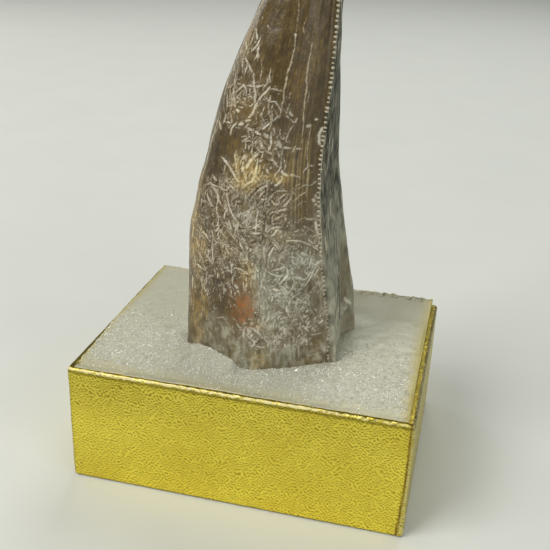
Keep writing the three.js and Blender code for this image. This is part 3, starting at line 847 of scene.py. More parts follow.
def bead_shape(squareness=0.65):
    """A unit rounded box: signed powers of the sine and cosine of a sphere's two angles. Returns its points
    and its faces: rings of quads with a fan at either end."""
    tilt = np.linspace(-np.pi / 2, np.pi / 2, BEAD_RINGS + 2)[1:-1, None]
    angle = np.arange(BEAD_SIDES)[None] * 2 * np.pi / BEAD_SIDES
    ball = np.stack(
        [np.cos(tilt) * np.cos(angle), np.cos(tilt) * np.sin(angle), np.sin(tilt) + 0 * angle], -1
    )
    ball = np.sign(ball) * np.abs(ball) ** squareness
    points = np.concatenate([ball.reshape(-1, 3), [(0, 0, -1), (0, 0, 1)]])
    row, column = grid_cells(BEAD_RINGS, BEAD_SIDES, closed=True)
    quads = row * BEAD_SIDES + column % BEAD_SIDES
    side = np.arange(BEAD_SIDES)
    following = (side + 1) % BEAD_SIDES
    low_pole, top_ring = BEAD_RINGS * BEAD_SIDES, (BEAD_RINGS - 1) * BEAD_SIDES
    fans = np.concatenate([
        np.stack([following, side, side * 0 + low_pole], -1),
        np.stack([top_ring + side, top_ring + following, side * 0 + low_pole + 1], -1),
    ])
    return points, quads, fans


print("one bead:", len(bead_shape()[0]), "points")

# %% Beads along an edge
def beads_along(edge, outwards, sizes, seed, wear):
    """Beads on an edge given by points and outward directions: the bead's points times its three axes.
    These are outwards, across and along the edge; sizes are their half lengths, for all or for each, and
    wear is the share of beads that are worn low."""
    dice = np.random.default_rng(seed)
    shape, quads, fans = bead_shape()
    along = np.gradient(edge, axis=0)
    along /= np.linalg.norm(along, axis=1, keepdims=True)
    outwards = outwards - along * (outwards * along).sum(1, keepdims=True)
    outwards /= np.linalg.norm(outwards, axis=1, keepdims=True)
    across = np.cross(along, outwards)
    count = len(edge)
    size = sizes * dice.normal(1, 0.2, (count, 3)).clip(0.55, 1.4)
    size[:, 0] *= np.where(dice.uniform(size=count) < wear, dice.uniform(0.55, 0.8, count), 1)
    swing = dice.normal(0, 0.16, (count, 1))
    edge = edge + dice.normal(0, 0.05, (count, 3))
    axes = np.stack([outwards + swing * along, across, along - swing * outwards], 1)
    placed = edge[:, None] + np.einsum("pk,bk,bkc->bpc", shape, size, axes)
    offsets = (np.arange(count) * len(shape))[:, None, None]
    return placed.reshape(-1, 3), (quads + offsets).reshape(-1, 4), (fans + offsets).reshape(-1, 3)


def edge_places(section_point, low, high, pitch):
    """Points up the crown at one place of the cross-sections, counted as their points are, from height low
    to high and pitch mm apart, and the outward direction there. Values are blended between the two
    nearest columns."""
    fine_step = round((1 - section_point / SECTION_POINTS) * AROUND)
    share = way_round[:, fine_step] / girth[:, 0]
    column = np.interp(share, share_round, np.arange(COLUMNS))
    left, blend = column.astype(int), (column % 1)[:, None]
    rows_all = np.arange(ROWS)
    inside = (row_z[:, 0] > low) & (row_z[:, 0] < high)
    path, normal = (
        (grid[rows_all, left] * (1 - blend) + grid[rows_all, (left + 1) % COLUMNS] * blend)[inside]
        for grid in (crown, outward)
    )
    way = np.append(0, np.cumsum(np.linalg.norm(np.diff(path, axis=0), axis=1)))
    spots = np.arange(0, way[-1], pitch)
    return [np.stack([np.interp(spots, way, axis) for axis in values.T], -1) for values in (path, normal)]


# %% The two rows of beads, sizes and pitches in mm
REAR_PLACE, FRONT_PLACE = SECTION_POINTS, 8.6  # of the two edges, among the points of a section
REAR_PITCH, FRONT_PITCH = 0.7, 0.6
REAR_BEAD, FRONT_BEAD = np.array((0.25, 0.26, 0.145)), np.array((0.22, 0.2, 0.2))
OUT_FROM_KEEL = np.array([0.75, -0.66, 0.0])  # the direction that the keel points in

edge, facing = edge_places(REAR_PLACE, 21.0, 89.0, REAR_PITCH)
facing = facing * 0.4 + OUT_FROM_KEEL
facing /= np.linalg.norm(facing, axis=1, keepdims=True)
bead_sizes = REAR_BEAD * (0.68 + 0.32 * smooth(edge[:, 2:], 28, 52))  # smaller near the root
rear_beads = beads_along(edge - facing * 0.05, facing, bead_sizes, 12, 0.25)
front_edge, front_facing = edge_places(FRONT_PLACE, 46.0, 87.0, FRONT_PITCH)
front_beads = beads_along(front_edge - front_facing * 0.12, front_facing, FRONT_BEAD, 13, 0.3)
print(len(edge), "beads on the rear edge,", len(front_edge), "on the front edge")

# %% [markdown]
# ## The finish of the enamel
#
# Fossil enamel is the tooth's own apatite, turned brown by iron and manganese and still glossy. Root
# marks are matt and pale, because the roots' acid roughened them. The parts could be separate materials
# on separate faces, but stains have no such borders. So one shader lays everything over each other, as
# the ground did: brown enamel, the grey rear face, silt, stains, growth lines, crust, marks and cracks.
#
# It starts from two kinds of coordinates. A flat map, in millimetres round and up, makes patterns follow
# the growth, and Object coordinates are for those that don't. Each noise has its blobs' real size.

# %% Material: etched fossil enamel
UV_GIRTH = 70.0  # mm, the girth that the flat map is drawn for, so that growth lines run straight up in it

enamel, tree, solid = new_material("etched_fossil_enamel")
layer_names = (*stains, *lines, "bead")
layer = {name: add(tree, "Attribute", attribute_name=name).outputs["Fac"] for name in layer_names}
flat = add(tree, "UVMap", uv_map="flat_mm")
ENAMEL_PATTERNS = {  # name: coordinates, size of its blobs across and up in mm, seed, detail
    "broad streaks": (flat, (1.3, 4.5), 1, 4.0),
    "fine streaks": (flat, (0.42, 1.5), 2, 4.0),
    "growth lines": (flat, (2.2, 30.0), 4, 1.0),
    "blotches": (solid, (4.0, 4.0), 3, 4.0),
    "mottle": (solid, (0.7, 0.7), 5, 4.0),
    "ochre": (flat, (0.6, 1.4), 6, 3.0),
    "umber_and_keel_shade": (flat, (0.7, 1.8), 7, 3.0),
    "bleaching": (flat, (0.5, 1.6), 8, 4.0),
    "rust": (flat, (0.6, 0.9), 9, 4.0),
    "loam": (flat, (1.5, 3.0), 14, 3.0),
    "rear grain": (flat, (0.7, 2.6), 10, 6.0),
    "crumble": (solid, (0.3, 0.3), 11, 2.0),
    "patchy": (flat, (1.4, 1.4), 12, 3.0),
    "tint": (solid, (4.0, 4.0), 13, 2.0),
}
noise = {}
for name, (place, (wide, tall), seed, detail) in ENAMEL_PATTERNS.items():
    moved = {"Location": (seed * 3.7, seed * 5.3, seed), "Scale": (1 / wide, 1 / tall, 1 / wide)}
    scaled = add(tree, "Mapping", place, named=moved)
    noise[name] = add(tree, "TexNoise", scaled, named={"Scale": 1.0, "Detail": detail})
print(len(layer), "layers of the mesh and", len(noise), "noises")

# %% Brown enamel, mottled and streaked along the growth, and the grey-green rear face
broad = add(tree, "MapRange", noise["broad streaks"], 0.35, 0.65)
fine = add(tree, "MapRange", noise["fine streaks"], 0.42, 0.68)
mottle = add(tree, "MapRange", noise["mottle"], 0.35, 0.65)
blotches = add(tree, "MapRange", noise["blotches"], 0.4, 0.62)
colour = add(tree, "Mix", broad, linear("#3A2D17"), linear("#53431F"), data_type="RGBA")
colour = add(tree, "Mix", blotches, colour, linear("#493A1F"), data_type="RGBA")
share = add(tree, "Math", fine, mottle, operation="MULTIPLY")
share = add(tree, "Math", share, 0.6, operation="MULTIPLY")
colour = add(tree, "Mix", share, colour, linear("#816B3A"), data_type="RGBA")
# The rear face is grey-green, and partly painted shade: its colours are kept dark for the side turned away
# from the key lamp.
rear_grain = add(tree, "MapRange", noise["rear grain"], 0.4, 0.6)
rear_colour = add(tree, "Mix", rear_grain, linear("#33342A"), linear("#7E7F6D"), data_type="RGBA")
colour = add(tree, "Mix", layer["rear"], colour, rear_colour, data_type="RGBA")
print(len(tree.nodes), "nodes with the bare enamel")

# %% Silt, in small runs of two tints like a dried puddle, paler on the rear face
puddles = add(tree, "Math", noise["patchy"], noise["bleaching"], operation="ADD")
puddles = add(tree, "MapRange", puddles, 0.91, 1.09)
silt_colour = add(tree, "Mix", puddles, linear("#807961"), linear("#ADAB98"), data_type="RGBA")
paler = add(tree, "Math", layer["rear"], 0.7, operation="MULTIPLY")
silt_colour = add(tree, "Mix", paler, silt_colour, linear("#CFCDB9"), data_type="RGBA")
silt_share = add(tree, "MapRange", noise["blotches"], 0.35, 0.6, 0.95, 0.6)
silt_share = add(tree, "Math", silt_share, layer["silt"], operation="MULTIPLY")
colour = add(tree, "Mix", silt_share, colour, silt_colour, data_type="RGBA")
print(len(tree.nodes), "nodes with the silt")

# %% Stains, each broken up by a noise of its own grain size
STAIN_COLOURS = {  # layer: colour, the least and the most of it that shows
    "loam": ("#6C5F42", 0.6, 0.95),
    "ochre": ("#B29350", 0.11, 0.72),
    "umber_and_keel_shade": ("#2C241B", 0.12, 0.8),
    "bleaching": ("#858575", 0.1, 0.72),
    "rust": ("#9A6230", 0.25, 0.85),
}
for name, (paint, least, most) in STAIN_COLOURS.items():
    broken = add(tree, "MapRange", noise[name], 0.36, 0.62, least, most)
    share = add(tree, "Math", layer[name], broken, operation="MULTIPLY")
    colour = add(tree, "Mix", share, colour, linear(paint), data_type="RGBA")
print(len(tree.nodes), "nodes with the stains")

# %% Growth lines, a wave round the tooth, shown where stain picked them out, and crust between the marks
GROWTH_PITCH = 0.68  # mm on the flat map
across_flat = add(tree, "SeparateXYZ", flat)
waver = add(tree, "Math", noise["growth lines"], 22.0, operation="MULTIPLY")
growth = add(tree, "Math", across_flat, 2 * math.pi / GROWTH_PITCH, waver, operation="MULTIPLY_ADD")
growth = add(tree, "Math", growth, operation="SINE")
growth = add(tree, "MapRange", growth, 0.1, 0.9, 0.0, 0.6)
growth = add(tree, "Math", growth, layer["growth"], operation="MULTIPLY")
colour = add(tree, "Mix", growth, colour, linear("#A8945F"), data_type="RGBA")
crust_colour = add(tree, "Mix", layer["bleaching"], linear("#827760"), linear("#939182"), data_type="RGBA")
crust_share = add(tree, "MapRange", noise["mottle"], 0.35, 0.65, 0.0, 0.38)
crust_share = add(tree, "Math", crust_share, layer["crust"], operation="MULTIPLY")
colour = add(tree, "Mix", crust_share, colour, crust_colour, data_type="RGBA")
print(len(tree.nodes), "nodes with the crust")

# %% Root marks finer than the mesh: contour lines of a noise, cut short where a second noise is low
WORM_SIZES = [(3.0, 0.07), (1.9, 0.06), (1.2, 0.055), (0.8, 0.045)]  # mm: bend size, half width
WORM_FADE = 0.05  # mm over which the edge of a mark fades
worms = None
for number, (size, half_width) in enumerate(WORM_SIZES):
    slope = 0.75 / size  # how fast the noise changes per mm
    moved = {"Location": (number * 7.1, 3.0, number), "Scale": (1 / size, 0.7 / size, 1 / size)}
    bent = add(tree, "Mapping", flat, named=moved)
    field = add(tree, "TexNoise", bent, named={"Scale": 1.0, "Detail": 1.0, "Distortion": 0.3})
    middle = add(tree, "Math", field, 0.5, operation="SUBTRACT")
    off_line = add(tree, "Math", middle, operation="ABSOLUTE")
    moved = {"Location": (number * 5.3, 9.0, number), "Scale": (1 / size, 1 / size, 1 / size)}
    shifted = add(tree, "Mapping", flat, named=moved)
    gate = add(tree, "TexNoise", shifted, named={"Scale": 1.0, "Detail": 1.0})
    limit = add(tree, "MapRange", layer["etching"], 0.0, 1.0, 0.72, 0.42)
    opened = add(tree, "Math", gate, limit, operation="SUBTRACT")
    opened = add(tree, "Math", opened, 9.0, operation="MULTIPLY", use_clamp=True)
    width = add(tree, "Math", opened, half_width * slope, operation="MULTIPLY")
    inside = add(tree, "Math", width, off_line, operation="SUBTRACT")
    drawn = add(tree, "Math", inside, 1 / (WORM_FADE * slope), operation="MULTIPLY", use_clamp=True)
    worms = drawn if worms is None else add(tree, "Math", worms, drawn, operation="MAXIMUM")
front_only = add(tree, "Math", 1.0, layer["rear"], operation="SUBTRACT")
worms = add(tree, "Math", worms, front_only, operation="MULTIPLY")
print(len(tree.nodes), "nodes with the fine marks")

# %% The drawn marks over the fine ones, roughened by a fine noise, then the cracks and the beads
crumble = add(tree, "MapRange", noise["crumble"], 0.3, 0.7, -0.2, 0.2)
LEVELS = {  # of a layer, where a line begins and where it is full
    "root_marks": (0.25, 0.85), "cream_cracks": (0.3, 0.85), "dark_cracks": (0.25, 0.75),
}
edges = {}
for name, (low, high) in LEVELS.items():
    rough = add(tree, "Math", layer[name], crumble, operation="ADD")
    edges[name] = add(tree, "MapRange", rough, low, high)
marks = add(tree, "Math", worms, 0.6, operation="MULTIPLY")
marks = add(tree, "Math", marks, edges["root_marks"], operation="MAXIMUM")
patchy = add(tree, "MapRange", noise["patchy"], 0.32, 0.58, 0.6, 1.0)
marks = add(tree, "Math", marks, patchy, operation="MULTIPLY")
tint = add(tree, "MapRange", noise["tint"], 0.48, 0.65, 0.0, 0.3)
tint = add(tree, "Math", tint, layer["ochre"], operation="MAXIMUM")
mark_colour = add(tree, "Mix", tint, linear("#C9C2B2"), linear("#DBCDA0"), data_type="RGBA")
mark_colour = add(tree, "Mix", layer["bleaching"], mark_colour, linear("#D4D4C6"), data_type="RGBA")
colour = add(tree, "Mix", marks, colour, mark_colour, data_type="RGBA")
for name, paint in (("cream_cracks", "#B7AB92"), ("dark_cracks", "#211D15")):
    share = add(tree, "Math", edges[name], 0.85, operation="MULTIPLY")
    colour = add(tree, "Mix", share, colour, linear(paint), data_type="RGBA")
bead_colour = add(tree, "Mix", patchy, linear("#7E755C"), linear("#C0B79F"), data_type="RGBA")
colour = add(tree, "Mix", layer["bead"], colour, bead_colour, data_type="RGBA")
print(len(tree.nodes), "nodes with the marks and cracks")

# %% Gloss and relief: clean enamel is glossy, root marks are matt and stand up as a thin crust
matt = add(tree, "Math", marks, layer["rear"], operation="MAXIMUM")
roughness = add(tree, "MapRange", matt, 0.0, 1.0, 0.36, 0.75)
raised = add(tree, "Math", marks, edges["cream_cracks"], operation="ADD")
raised = add(tree, "Math", raised, edges["dark_cracks"], operation="SUBTRACT")
grain = add(tree, "Math", noise["fine streaks"], mottle, operation="MULTIPLY")
raised = add(tree, "Math", grain, raised, operation="ADD")
raised = add(tree, "Math", raised, crumble, operation="ADD")
bump = add(tree, "Bump", named={"Strength": 0.7, "Distance": 0.05 * MM, "Height": raised})
enamel_shader = add(
    tree, "BsdfPrincipled", colour,
    named={"Roughness": roughness, "IOR": 1.5, "Normal": bump},
)
add(tree, "OutputMaterial", enamel_shader)
print(len(tree.nodes), "nodes in the enamel")

# %% [markdown]
# ## The tooth's mesh
#
# The rows of points become one closed tube: quads between the rows, and a fan of triangles at the base
# and at the tip. The beads are joined to it as closed solids of their own. A boolean union would weld
# them, but it would also cut up the even grid that the layers are kept on. Each face corner gets its
# place on the flat map, and each point its values in the layers.

# %% The closed crown
pole_points = np.array([(0, -1.6, BREAK_Z - 0.1), crown[-1].mean(0) + np.array([0, 0, 0.05])])
crown_count = ROWS * COLUMNS
row, column = grid_cells(ROWS, COLUMNS, closed=True)
crown_quads = (row * COLUMNS + column % COLUMNS)[:, ::-1]
share_ends = np.append(share_round, 1.0)
crown_uv = np.stack([share_ends[column] * UV_GIRTH, row_z[row, 0]], -1)[:, ::-1]
side = np.arange(COLUMNS)
after = (side + 1) % COLUMNS
base_fan = np.stack([side, after, side * 0 + crown_count], -1)
tip_fan = np.stack([after, side, side * 0 + crown_count + 1], -1)
tip_fan[:, :2] += (ROWS - 1) * COLUMNS
tooth_points = [crown.reshape(-1, 3), pole_points]
tooth_faces = [crown_quads]
fan_uv = np.zeros((COLUMNS, 3, 2))
fan_uv[:, 0, 0], fan_uv[:, 1, 0], fan_uv[:, 2, 0] = share_ends[:-1], share_ends[1:], 0.5
tooth_uv = [crown_uv.reshape(-1, 2)]
fans = [base_fan, tip_fan]
print(crown_count, "points in the crown")

# %% One mesh with the beads
bead_level = [np.zeros(crown_count + 2)]
start = crown_count + 2
for points, quads, bead_fans in (rear_beads, front_beads):
    tooth_points.append(points)
    tooth_faces.append(quads + start)
    tooth_uv.append(np.stack([quads * 0.0, points[quads][..., 2]], -1).reshape(-1, 2))
    fans.append(bead_fans + start)
    bead_level.append(0.8 + 0.2 * smooth(points[:, 2], 26, 50))
    start += len(points)
tooth_uv += [(fan_uv * UV_GIRTH).reshape(-1, 2)] * 2
tooth_uv += [np.stack([fan * 0.0, fan * 0.0], -1).reshape(-1, 2) for fan in fans[2:]]
spare = start - crown_count
layers = {"bead": np.concatenate(bead_level)}
for name, values in {**stains, **lines}.items():
    layers[name] = np.append(values.ravel(), np.zeros(spare))
tooth = make_piece(
    "dinosaur_tooth", np.concatenate(tooth_points), tooth_faces + fans, enamel, layers,
    np.concatenate(tooth_uv),
)
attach(tooth, "root")
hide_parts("tooth")

# %% [markdown]
# ## The gold foil paper
#
# The box is wrapped in paper with a thin metal film, embossed all over with a fine labyrinth like
# leather. It goes under the bottom, up the four sides, over the rim and 8 mm down inside. The shape is
# one profile, from the middle of the underside round to the turned-in edge and back inside the paper,
# carried round the box's rounded outline. Moving in from the wall scales the outline, so all corners
# stay round. A box with bevelled edges would be quicker, but it has no place for the turned-in edge.

# %% The outline of the box and the profile of the foil
HALF_X, HALF_Y, RIM_Z = np.array(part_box("foil_wrap")[1]) / MM
# All in mm:
CORNER = 0.55  # radius of the upright edges and of the bottom edge
RIM_RADIUS, INNER_RADIUS = 0.6, 0.25  # of the rim's outer and inner side
RIM_WIDTH = 1.2  # the board and two thicknesses of foil
TURN_IN = 8.0
PAPER = 0.1  # from the outer skin to the hidden inner one, which so keeps inside the rounded edges
FOIL_STEP = 0.25  # between points of the mesh
FLOOR_INSET = 16.0  # from the wall to where the flat bottom is closed by a fan


def rounded_outline(step):
    """Points round a rounded rectangle, anticlockwise from above, starting at the back left corner: the
    straight sides and quarter circles in turn, walked at even steps. Returns the points, their outward
    directions, the way to each, and the whole way round."""
    straights = np.array([2 * (HALF_Y - CORNER), 2 * (HALF_X - CORNER)] * 2)
    bend = np.pi / 2 * CORNER
    lengths = np.stack([straights, np.full(4, bend)], -1).ravel()
    ends = np.append(0, np.cumsum(lengths))
    count = int(ends[-1] / step)
    way = np.arange(count) * ends[-1] / count
    part = np.searchsorted(ends, way, side="right") - 1
    inside = way - ends[part]
    heading = np.radians(-90 + 90 * (part // 2) + np.where(part % 2, inside / bend * 90, 0))
    ahead = np.stack([np.cos(heading), np.sin(heading)], -1)
    corner_at = np.array([(-1, 1), (-1, -1), (1, -1), (1, 1)]) * (HALF_X - CORNER, HALF_Y - CORNER)
    side_start = corner_at[part // 2]
    bend_centre = corner_at[(part // 2 + 1) % 4]
    right = np.stack([ahead[:, 1], -ahead[:, 0]], -1)
    straight = (part % 2 == 0)[:, None]
    points = np.where(straight, side_start + ahead * inside[:, None], bend_centre) + right * CORNER
    return points, right, way, ends[-1]


outline, outline_normal, outline_way, outline_length = rounded_outline(FOIL_STEP)
print(len(outline), "points in the outline,", round(float(outline_length), 1), "mm round the box")

# %% The profile, as (in from the wall, up)
def arc(centre, radius, start, stop, count):
    """Points on a circle's arc: the centre plus the radius times cosine and sine, angles in degrees."""
    angle = np.radians(np.linspace(start, stop, count))
    return np.stack([centre[0] + radius * np.cos(angle), centre[1] + radius * np.sin(angle)], -1)


wall_rows = int((RIM_Z - CORNER - RIM_RADIUS) / FOIL_STEP)
wall_z = np.linspace(CORNER, RIM_Z - RIM_RADIUS, wall_rows)[1:-1]
profile = np.concatenate([
    [(FLOOR_INSET, 0.0), (8.0, 0.0), (2.0, 0.0)],
    arc((CORNER, CORNER), CORNER, 270, 180, 5),
    np.stack([wall_z * 0, wall_z], -1),
    arc((RIM_RADIUS, RIM_Z - RIM_RADIUS), RIM_RADIUS, 180, 90, 13),
    [(0.68, RIM_Z), (0.76, RIM_Z)],
    arc((RIM_WIDTH - INNER_RADIUS, RIM_Z - INNER_RADIUS), INNER_RADIUS, 90, 0, 4),
    [(RIM_WIDTH, RIM_Z - 1.0), (RIM_WIDTH, RIM_Z - TURN_IN), (RIM_WIDTH - PAPER, RIM_Z - TURN_IN)],
    [(RIM_WIDTH - PAPER, RIM_Z - PAPER), (RIM_RADIUS, RIM_Z - PAPER), (PAPER, RIM_Z - RIM_RADIUS)],
    [(PAPER, CORNER), (CORNER, PAPER), (FLOOR_INSET, PAPER)],
])
HIDDEN_POINTS = 6  # of the profile, inside the paper
print(len(profile), "points in the profile")

# %% [markdown]
# ## The emboss
#
# The emboss is finer than any mesh could carry, so the shader makes it: a sum of plane waves with nearly
# one wavelength and many directions, which folds into short worm-like ridges, as on grained leather. A
# noise texture would give round pits instead. The waves run on a flat map, in millimetres round the box
# and along the profile, as the paper was embossed before it was folded.

# %% The labyrinth emboss, as waves on the flat map
EMBOSS_WAVES = 16
EMBOSS_LENGTH, LENGTH_SPREAD = 0.5, 0.16  # mm from ridge to ridge, and how much that varies
EMBOSS_HEADING, HEADING_SPREAD = 86, 34  # degrees: the ridges run mostly level, as the paper was rolled

emboss_dice = np.random.default_rng(5)
turns = np.radians(EMBOSS_HEADING + HEADING_SPREAD * emboss_dice.normal(size=EMBOSS_WAVES))
wavelengths = EMBOSS_LENGTH * emboss_dice.lognormal(0, LENGTH_SPREAD, EMBOSS_WAVES)
emboss_ways = np.stack([np.cos(turns), np.sin(turns)], -1) * 2 * np.pi / wavelengths[:, None]
emboss_starts = emboss_dice.uniform(0, 2 * np.pi, EMBOSS_WAVES)

profile_way = np.append(0, np.cumsum(np.hypot(*np.diff(profile, axis=0).T)))
place_round = np.append(outline_way, outline_length)
flat_foil = np.stack(np.broadcast_arrays(place_round[None], profile_way[:, None]), -1)
print("ridges", np.round(wavelengths.min(), 2), "to", np.round(wavelengths.max(), 2), "mm apart")

# %% [markdown]
# ## The foil's points
#
# Each row of the mesh is the outline, moved in and up as the profile says. Thin board under a glued
# sheet bows and dents a little, so the walls bulge between the corners, swell over a centimetre, and are
# finely dimpled; the rim wavers too. These are moves of whole arrays along the outline's normals. The
# hidden inner skin has too few rows to follow them, and stays nearly flat.

# %% Profile round outline, with bowed sides, soft dents and dimples
BOW = 0.12  # mm, how far the walls bow out between the corners

foil_rows, foil_columns = len(profile), len(outline)
inwards, up = profile[:, 0][:, None], profile[:, 1][:, None]
reach = np.array([HALF_X, HALF_Y])
foil_points = np.empty((foil_rows, foil_columns, 3))
foil_points[..., :2] = outline[None] * (1 - inwards[..., None] / reach)
foil_points[..., 2] = up
along_x, along_y = outline[:, 0] / HALF_X, outline[:, 1] / HALF_Y
bulge = BOW * np.where(np.abs(outline_normal[:, 0]) < 0.5, 1 - along_x**2, 1 - along_y**2)
walls = smooth(up, 0.3, 4) * smooth(RIM_Z - up, -0.1, 5)
dents = 0.05 * swell(foil_points, 12, 52) + 0.025 * swell(foil_points, 4, 53)
sideways = (bulge[None] + dents) * walls
rim_waver = 0.05 * swell(foil_points, 9, 54) * smooth(up, RIM_Z - 4, RIM_Z - 0.3)
foil_points[..., :2] += outline_normal[None] * (sideways * (inwards < PAPER / 2 + 0.5))[..., None]
foil_points[..., 2] += rim_waver
dimples = 0.02 * swell(foil_points, 1.3, 55) + 0.015 * swell(foil_points, 0.8, 56)
foil_points[..., :2] += outline_normal[None] * (dimples * (inwards < 0.5))[..., None]
foil_points[..., 2] += 0.7 * dimples * (inwards < RIM_WIDTH) * (up > RIM_Z - 1)
print("foil spans", np.round(np.ptp(foil_points.reshape(-1, 3), axis=0), 2), "mm")

# %% [markdown]
# ## The finish of the foil
#
# It is a film of metal, vacuum-coated on paper and lacquered yellow: a true mirror, softened by the
# paper's tooth. The grooves of the emboss mirror the ridges beside them, so they look olive, and that
# olive is painted into their colour as a painted reflection. Painted shade darkens the film in creases
# and along its edges, a painted highlight lies as a pale cream band on the front rim, and where the film
# is rubbed, on the flap and the front right corner, pale paper shows. Shade, highlight and rubbing are
# layers of the mesh, and noises break them up.

# %% Material: metallised gold foil paper, its emboss
foil_finish, tree, solid = new_material("metallised_gold_foil_paper")
flat = add(tree, "UVMap", uv_map="flat_mm")
pull = add(tree, "TexNoise", solid, named={"Scale": 0.5, "Detail": 1.0}).outputs["Color"]
pull = add(tree, "VectorMath", pull, (0.5, 0.5, 0.5), operation="SUBTRACT")
pull = add(tree, "VectorMath", pull, (1.6, 1.6, 0.0), operation="MULTIPLY")
pulled = add(tree, "VectorMath", flat, pull, operation="ADD")
total = None
for way, start in zip(emboss_ways, emboss_starts):
    turned = add(tree, "VectorMath", pulled, (*way, 0.0), operation="DOT_PRODUCT").outputs["Value"]
    phase = add(tree, "Math", turned, start, operation="ADD")
    wave = add(tree, "Math", phase, operation="COSINE")
    total = wave if total is None else add(tree, "Math", total, wave, operation="ADD")
labyrinth = add(tree, "Math", total, 1 / math.sqrt(EMBOSS_WAVES / 2), operation="MULTIPLY")
labyrinth = add(tree, "Math", labyrinth, operation="TANH")
ridge = add(tree, "MapRange", labyrinth, -0.95, 0.1)
print(len(tree.nodes), "nodes in the emboss")

# %% Gold, painted shade, painted highlight and rubbed paper, and the dark cut edge
mottle = add(tree, "TexNoise", solid, named={"Scale": 1 / 6.0, "Detail": 3.0})
mottle = add(tree, "MapRange", mottle, 0.35, 0.65)
gold = add(tree, "Mix", mottle, linear("#F6E258"), linear("#FFEE60"), data_type="RGBA")
FOIL_LAYERS = ("folds_and_painted_shade", "rubbed_and_highlight", "seam")
wear = {name: add(tree, "Attribute", attribute_name=name).outputs["Fac"] for name in FOIL_LAYERS}
# The grooves are painted olive, as a painted reflection of the darker room, and darker still where the film
# is painted in shade.
deeper = add(tree, "MapRange", wear["folds_and_painted_shade"], 0.05, 0.3)
groove_painted_reflection = add(tree, "Mix", deeper, linear("#C2AE38"), linear("#9A8A2C"), data_type="RGBA")
foil_colour = add(tree, "Mix", ridge, groove_painted_reflection, gold, data_type="RGBA")
rub_noise = add(tree, "TexNoise", solid, named={"Scale": 2.2, "Detail": 3.0})
rub_noise = add(tree, "MapRange", rub_noise, 0.42, 0.56, 0.3, 1.0)
rub_and_highlight_share = add(tree, "Math", wear["rubbed_and_highlight"], rub_noise, operation="MULTIPLY")
rub_and_highlight_share = add(tree, "MapRange", rub_and_highlight_share, 0.1, 0.75)
# Dark gold paints shade, cream paints the rim highlight and the rubbed paper, and brown is the cut edge.
for share, paint in ((wear["folds_and_painted_shade"], "#726525"), (rub_and_highlight_share, "#E0D6A0"), (wear["seam"], "#69431C")):
    foil_colour = add(tree, "Mix", share, foil_colour, linear(paint), data_type="RGBA")
print(len(tree.nodes), "nodes with the colours")

# %% Metal, roughness and relief: rubbed paper and the painted highlight are no metal, and rougher
metal = add(tree, "Math", 1.0, rub_and_highlight_share, operation="SUBTRACT")
paper_grain = add(tree, "TexNoise", solid, named={"Scale": 6.0, "Detail": 2.0})
foil_roughness = add(tree, "MapRange", paper_grain, 0.3, 0.7, 0.26, 0.42)
matter = add(tree, "MapRange", rub_and_highlight_share, 0.0, 1.0, 1.0, 1.5)
foil_roughness = add(tree, "Math", foil_roughness, matter, operation="MULTIPLY")
fine_relief = add(tree, "Math", paper_grain, 0.5, operation="MULTIPLY")
fine_relief = add(tree, "Math", fine_relief, labyrinth, operation="ADD")
foil_bump = add(tree, "Bump", named={"Strength": 0.8, "Distance": 0.016 * MM, "Height": fine_relief})
foil_shader = add(
    tree, "BsdfPrincipled", foil_colour,
    named={"Metallic": metal, "Roughness": foil_roughness, "Normal": foil_bump},
)
add(tree, "OutputMaterial", foil_shader)
print(len(tree.nodes), "nodes in the foil")

# %% [markdown]
# ## Flap, wear, painted shade and painted highlight
#
# The sheet ends in a flap that is glued round the front right edge, and its cut edge shows as a thin dark
# line that wanders down the front. Three layers of the mesh hold the film's colour: the cut edge; pale
# paper where the film is rubbed, on the flap, the right rim and the front right corner, with a painted
# highlight along the front rim; and painted shade, under the rim, along the upright edges and the foot,
# on the right side and its rim, towards the top left and inside the rim by the pad. Painting weights by
# hand could do it; worked out from each point's place on the box, they follow its edges exactly.

# %% The flap and its cut edge
SEAM_WIDTH = 0.15  # mm, half width of the cut edge
SEAM_IN, SEAM_LEAN = 0.46, 0.7  # mm in from the right side at the rim, and how much further at the foot

outer_row = profile[:, 0] < RIM_WIDTH - PAPER / 2
outer_row[-HIDDEN_POINTS:] = False
down = (RIM_Z - up) / RIM_Z
seam_wander = 0.07 * swell_along(up, 4.5, 57) + 0.04 * swell_along(up, 1.6, 58)
seam_x = HALF_X - SEAM_IN - SEAM_LEAN * np.clip(down, 0, 1) ** 2.5 + seam_wander
past_seam = foil_points[..., 0] - seam_x
on_front = (outline_normal[:, 1] < -0.3) & outer_row[:, None] & (inwards < 0.3)
seam = np.exp(-((past_seam / SEAM_WIDTH) ** 2)) * on_front
flap = smooth(past_seam, -0.05, 0.2) * on_front
foil_points[..., 1] -= 0.06 * flap
flap_width = HALF_X - seam_x
print("flap", round(float(flap_width.min()), 2), "to", round(float(flap_width.max()), 2), "mm wide")

# %% Painted highlight on the front rim, rubbed flap and corners, painted shade on sides and creases
frayed = 0.05 * swell(foil_points, 1.0, 60)
outer_wall = inwards < RIM_RADIUS
on_rim = inwards < RIM_WIDTH + 0.1
right_side = (outline_normal[:, 0] > 0.2) * on_rim * outer_row[:, None]
right_rim = right_side * smooth(up, RIM_Z - 1.3, RIM_Z - 0.5)

# A painted highlight: a pale cream band over the front rim's outer curve, where the key lamp's reflection
# lies, fullest on the left and middle and broken up towards the right.
edge_up = smooth(up + frayed, RIM_Z - 0.53, RIM_Z - 0.45) * smooth(inwards + frayed, 0.27, 0.15)
highlight_strength = 0.5 + 0.5 * smooth(foil_points[..., 0], 18, 8) + 0.4 * swell(foil_points, 0.9, 59)
front_rim_highlight = edge_up * (0.08 + 0.92 * highlight_strength * (outline_normal[:, 1] < -0.5)) * outer_row[:, None]
front_corner = right_side * smooth(foil_points[..., 1], 1.6 - HALF_Y, 0.4 - HALF_Y) * (inwards < 0.5)
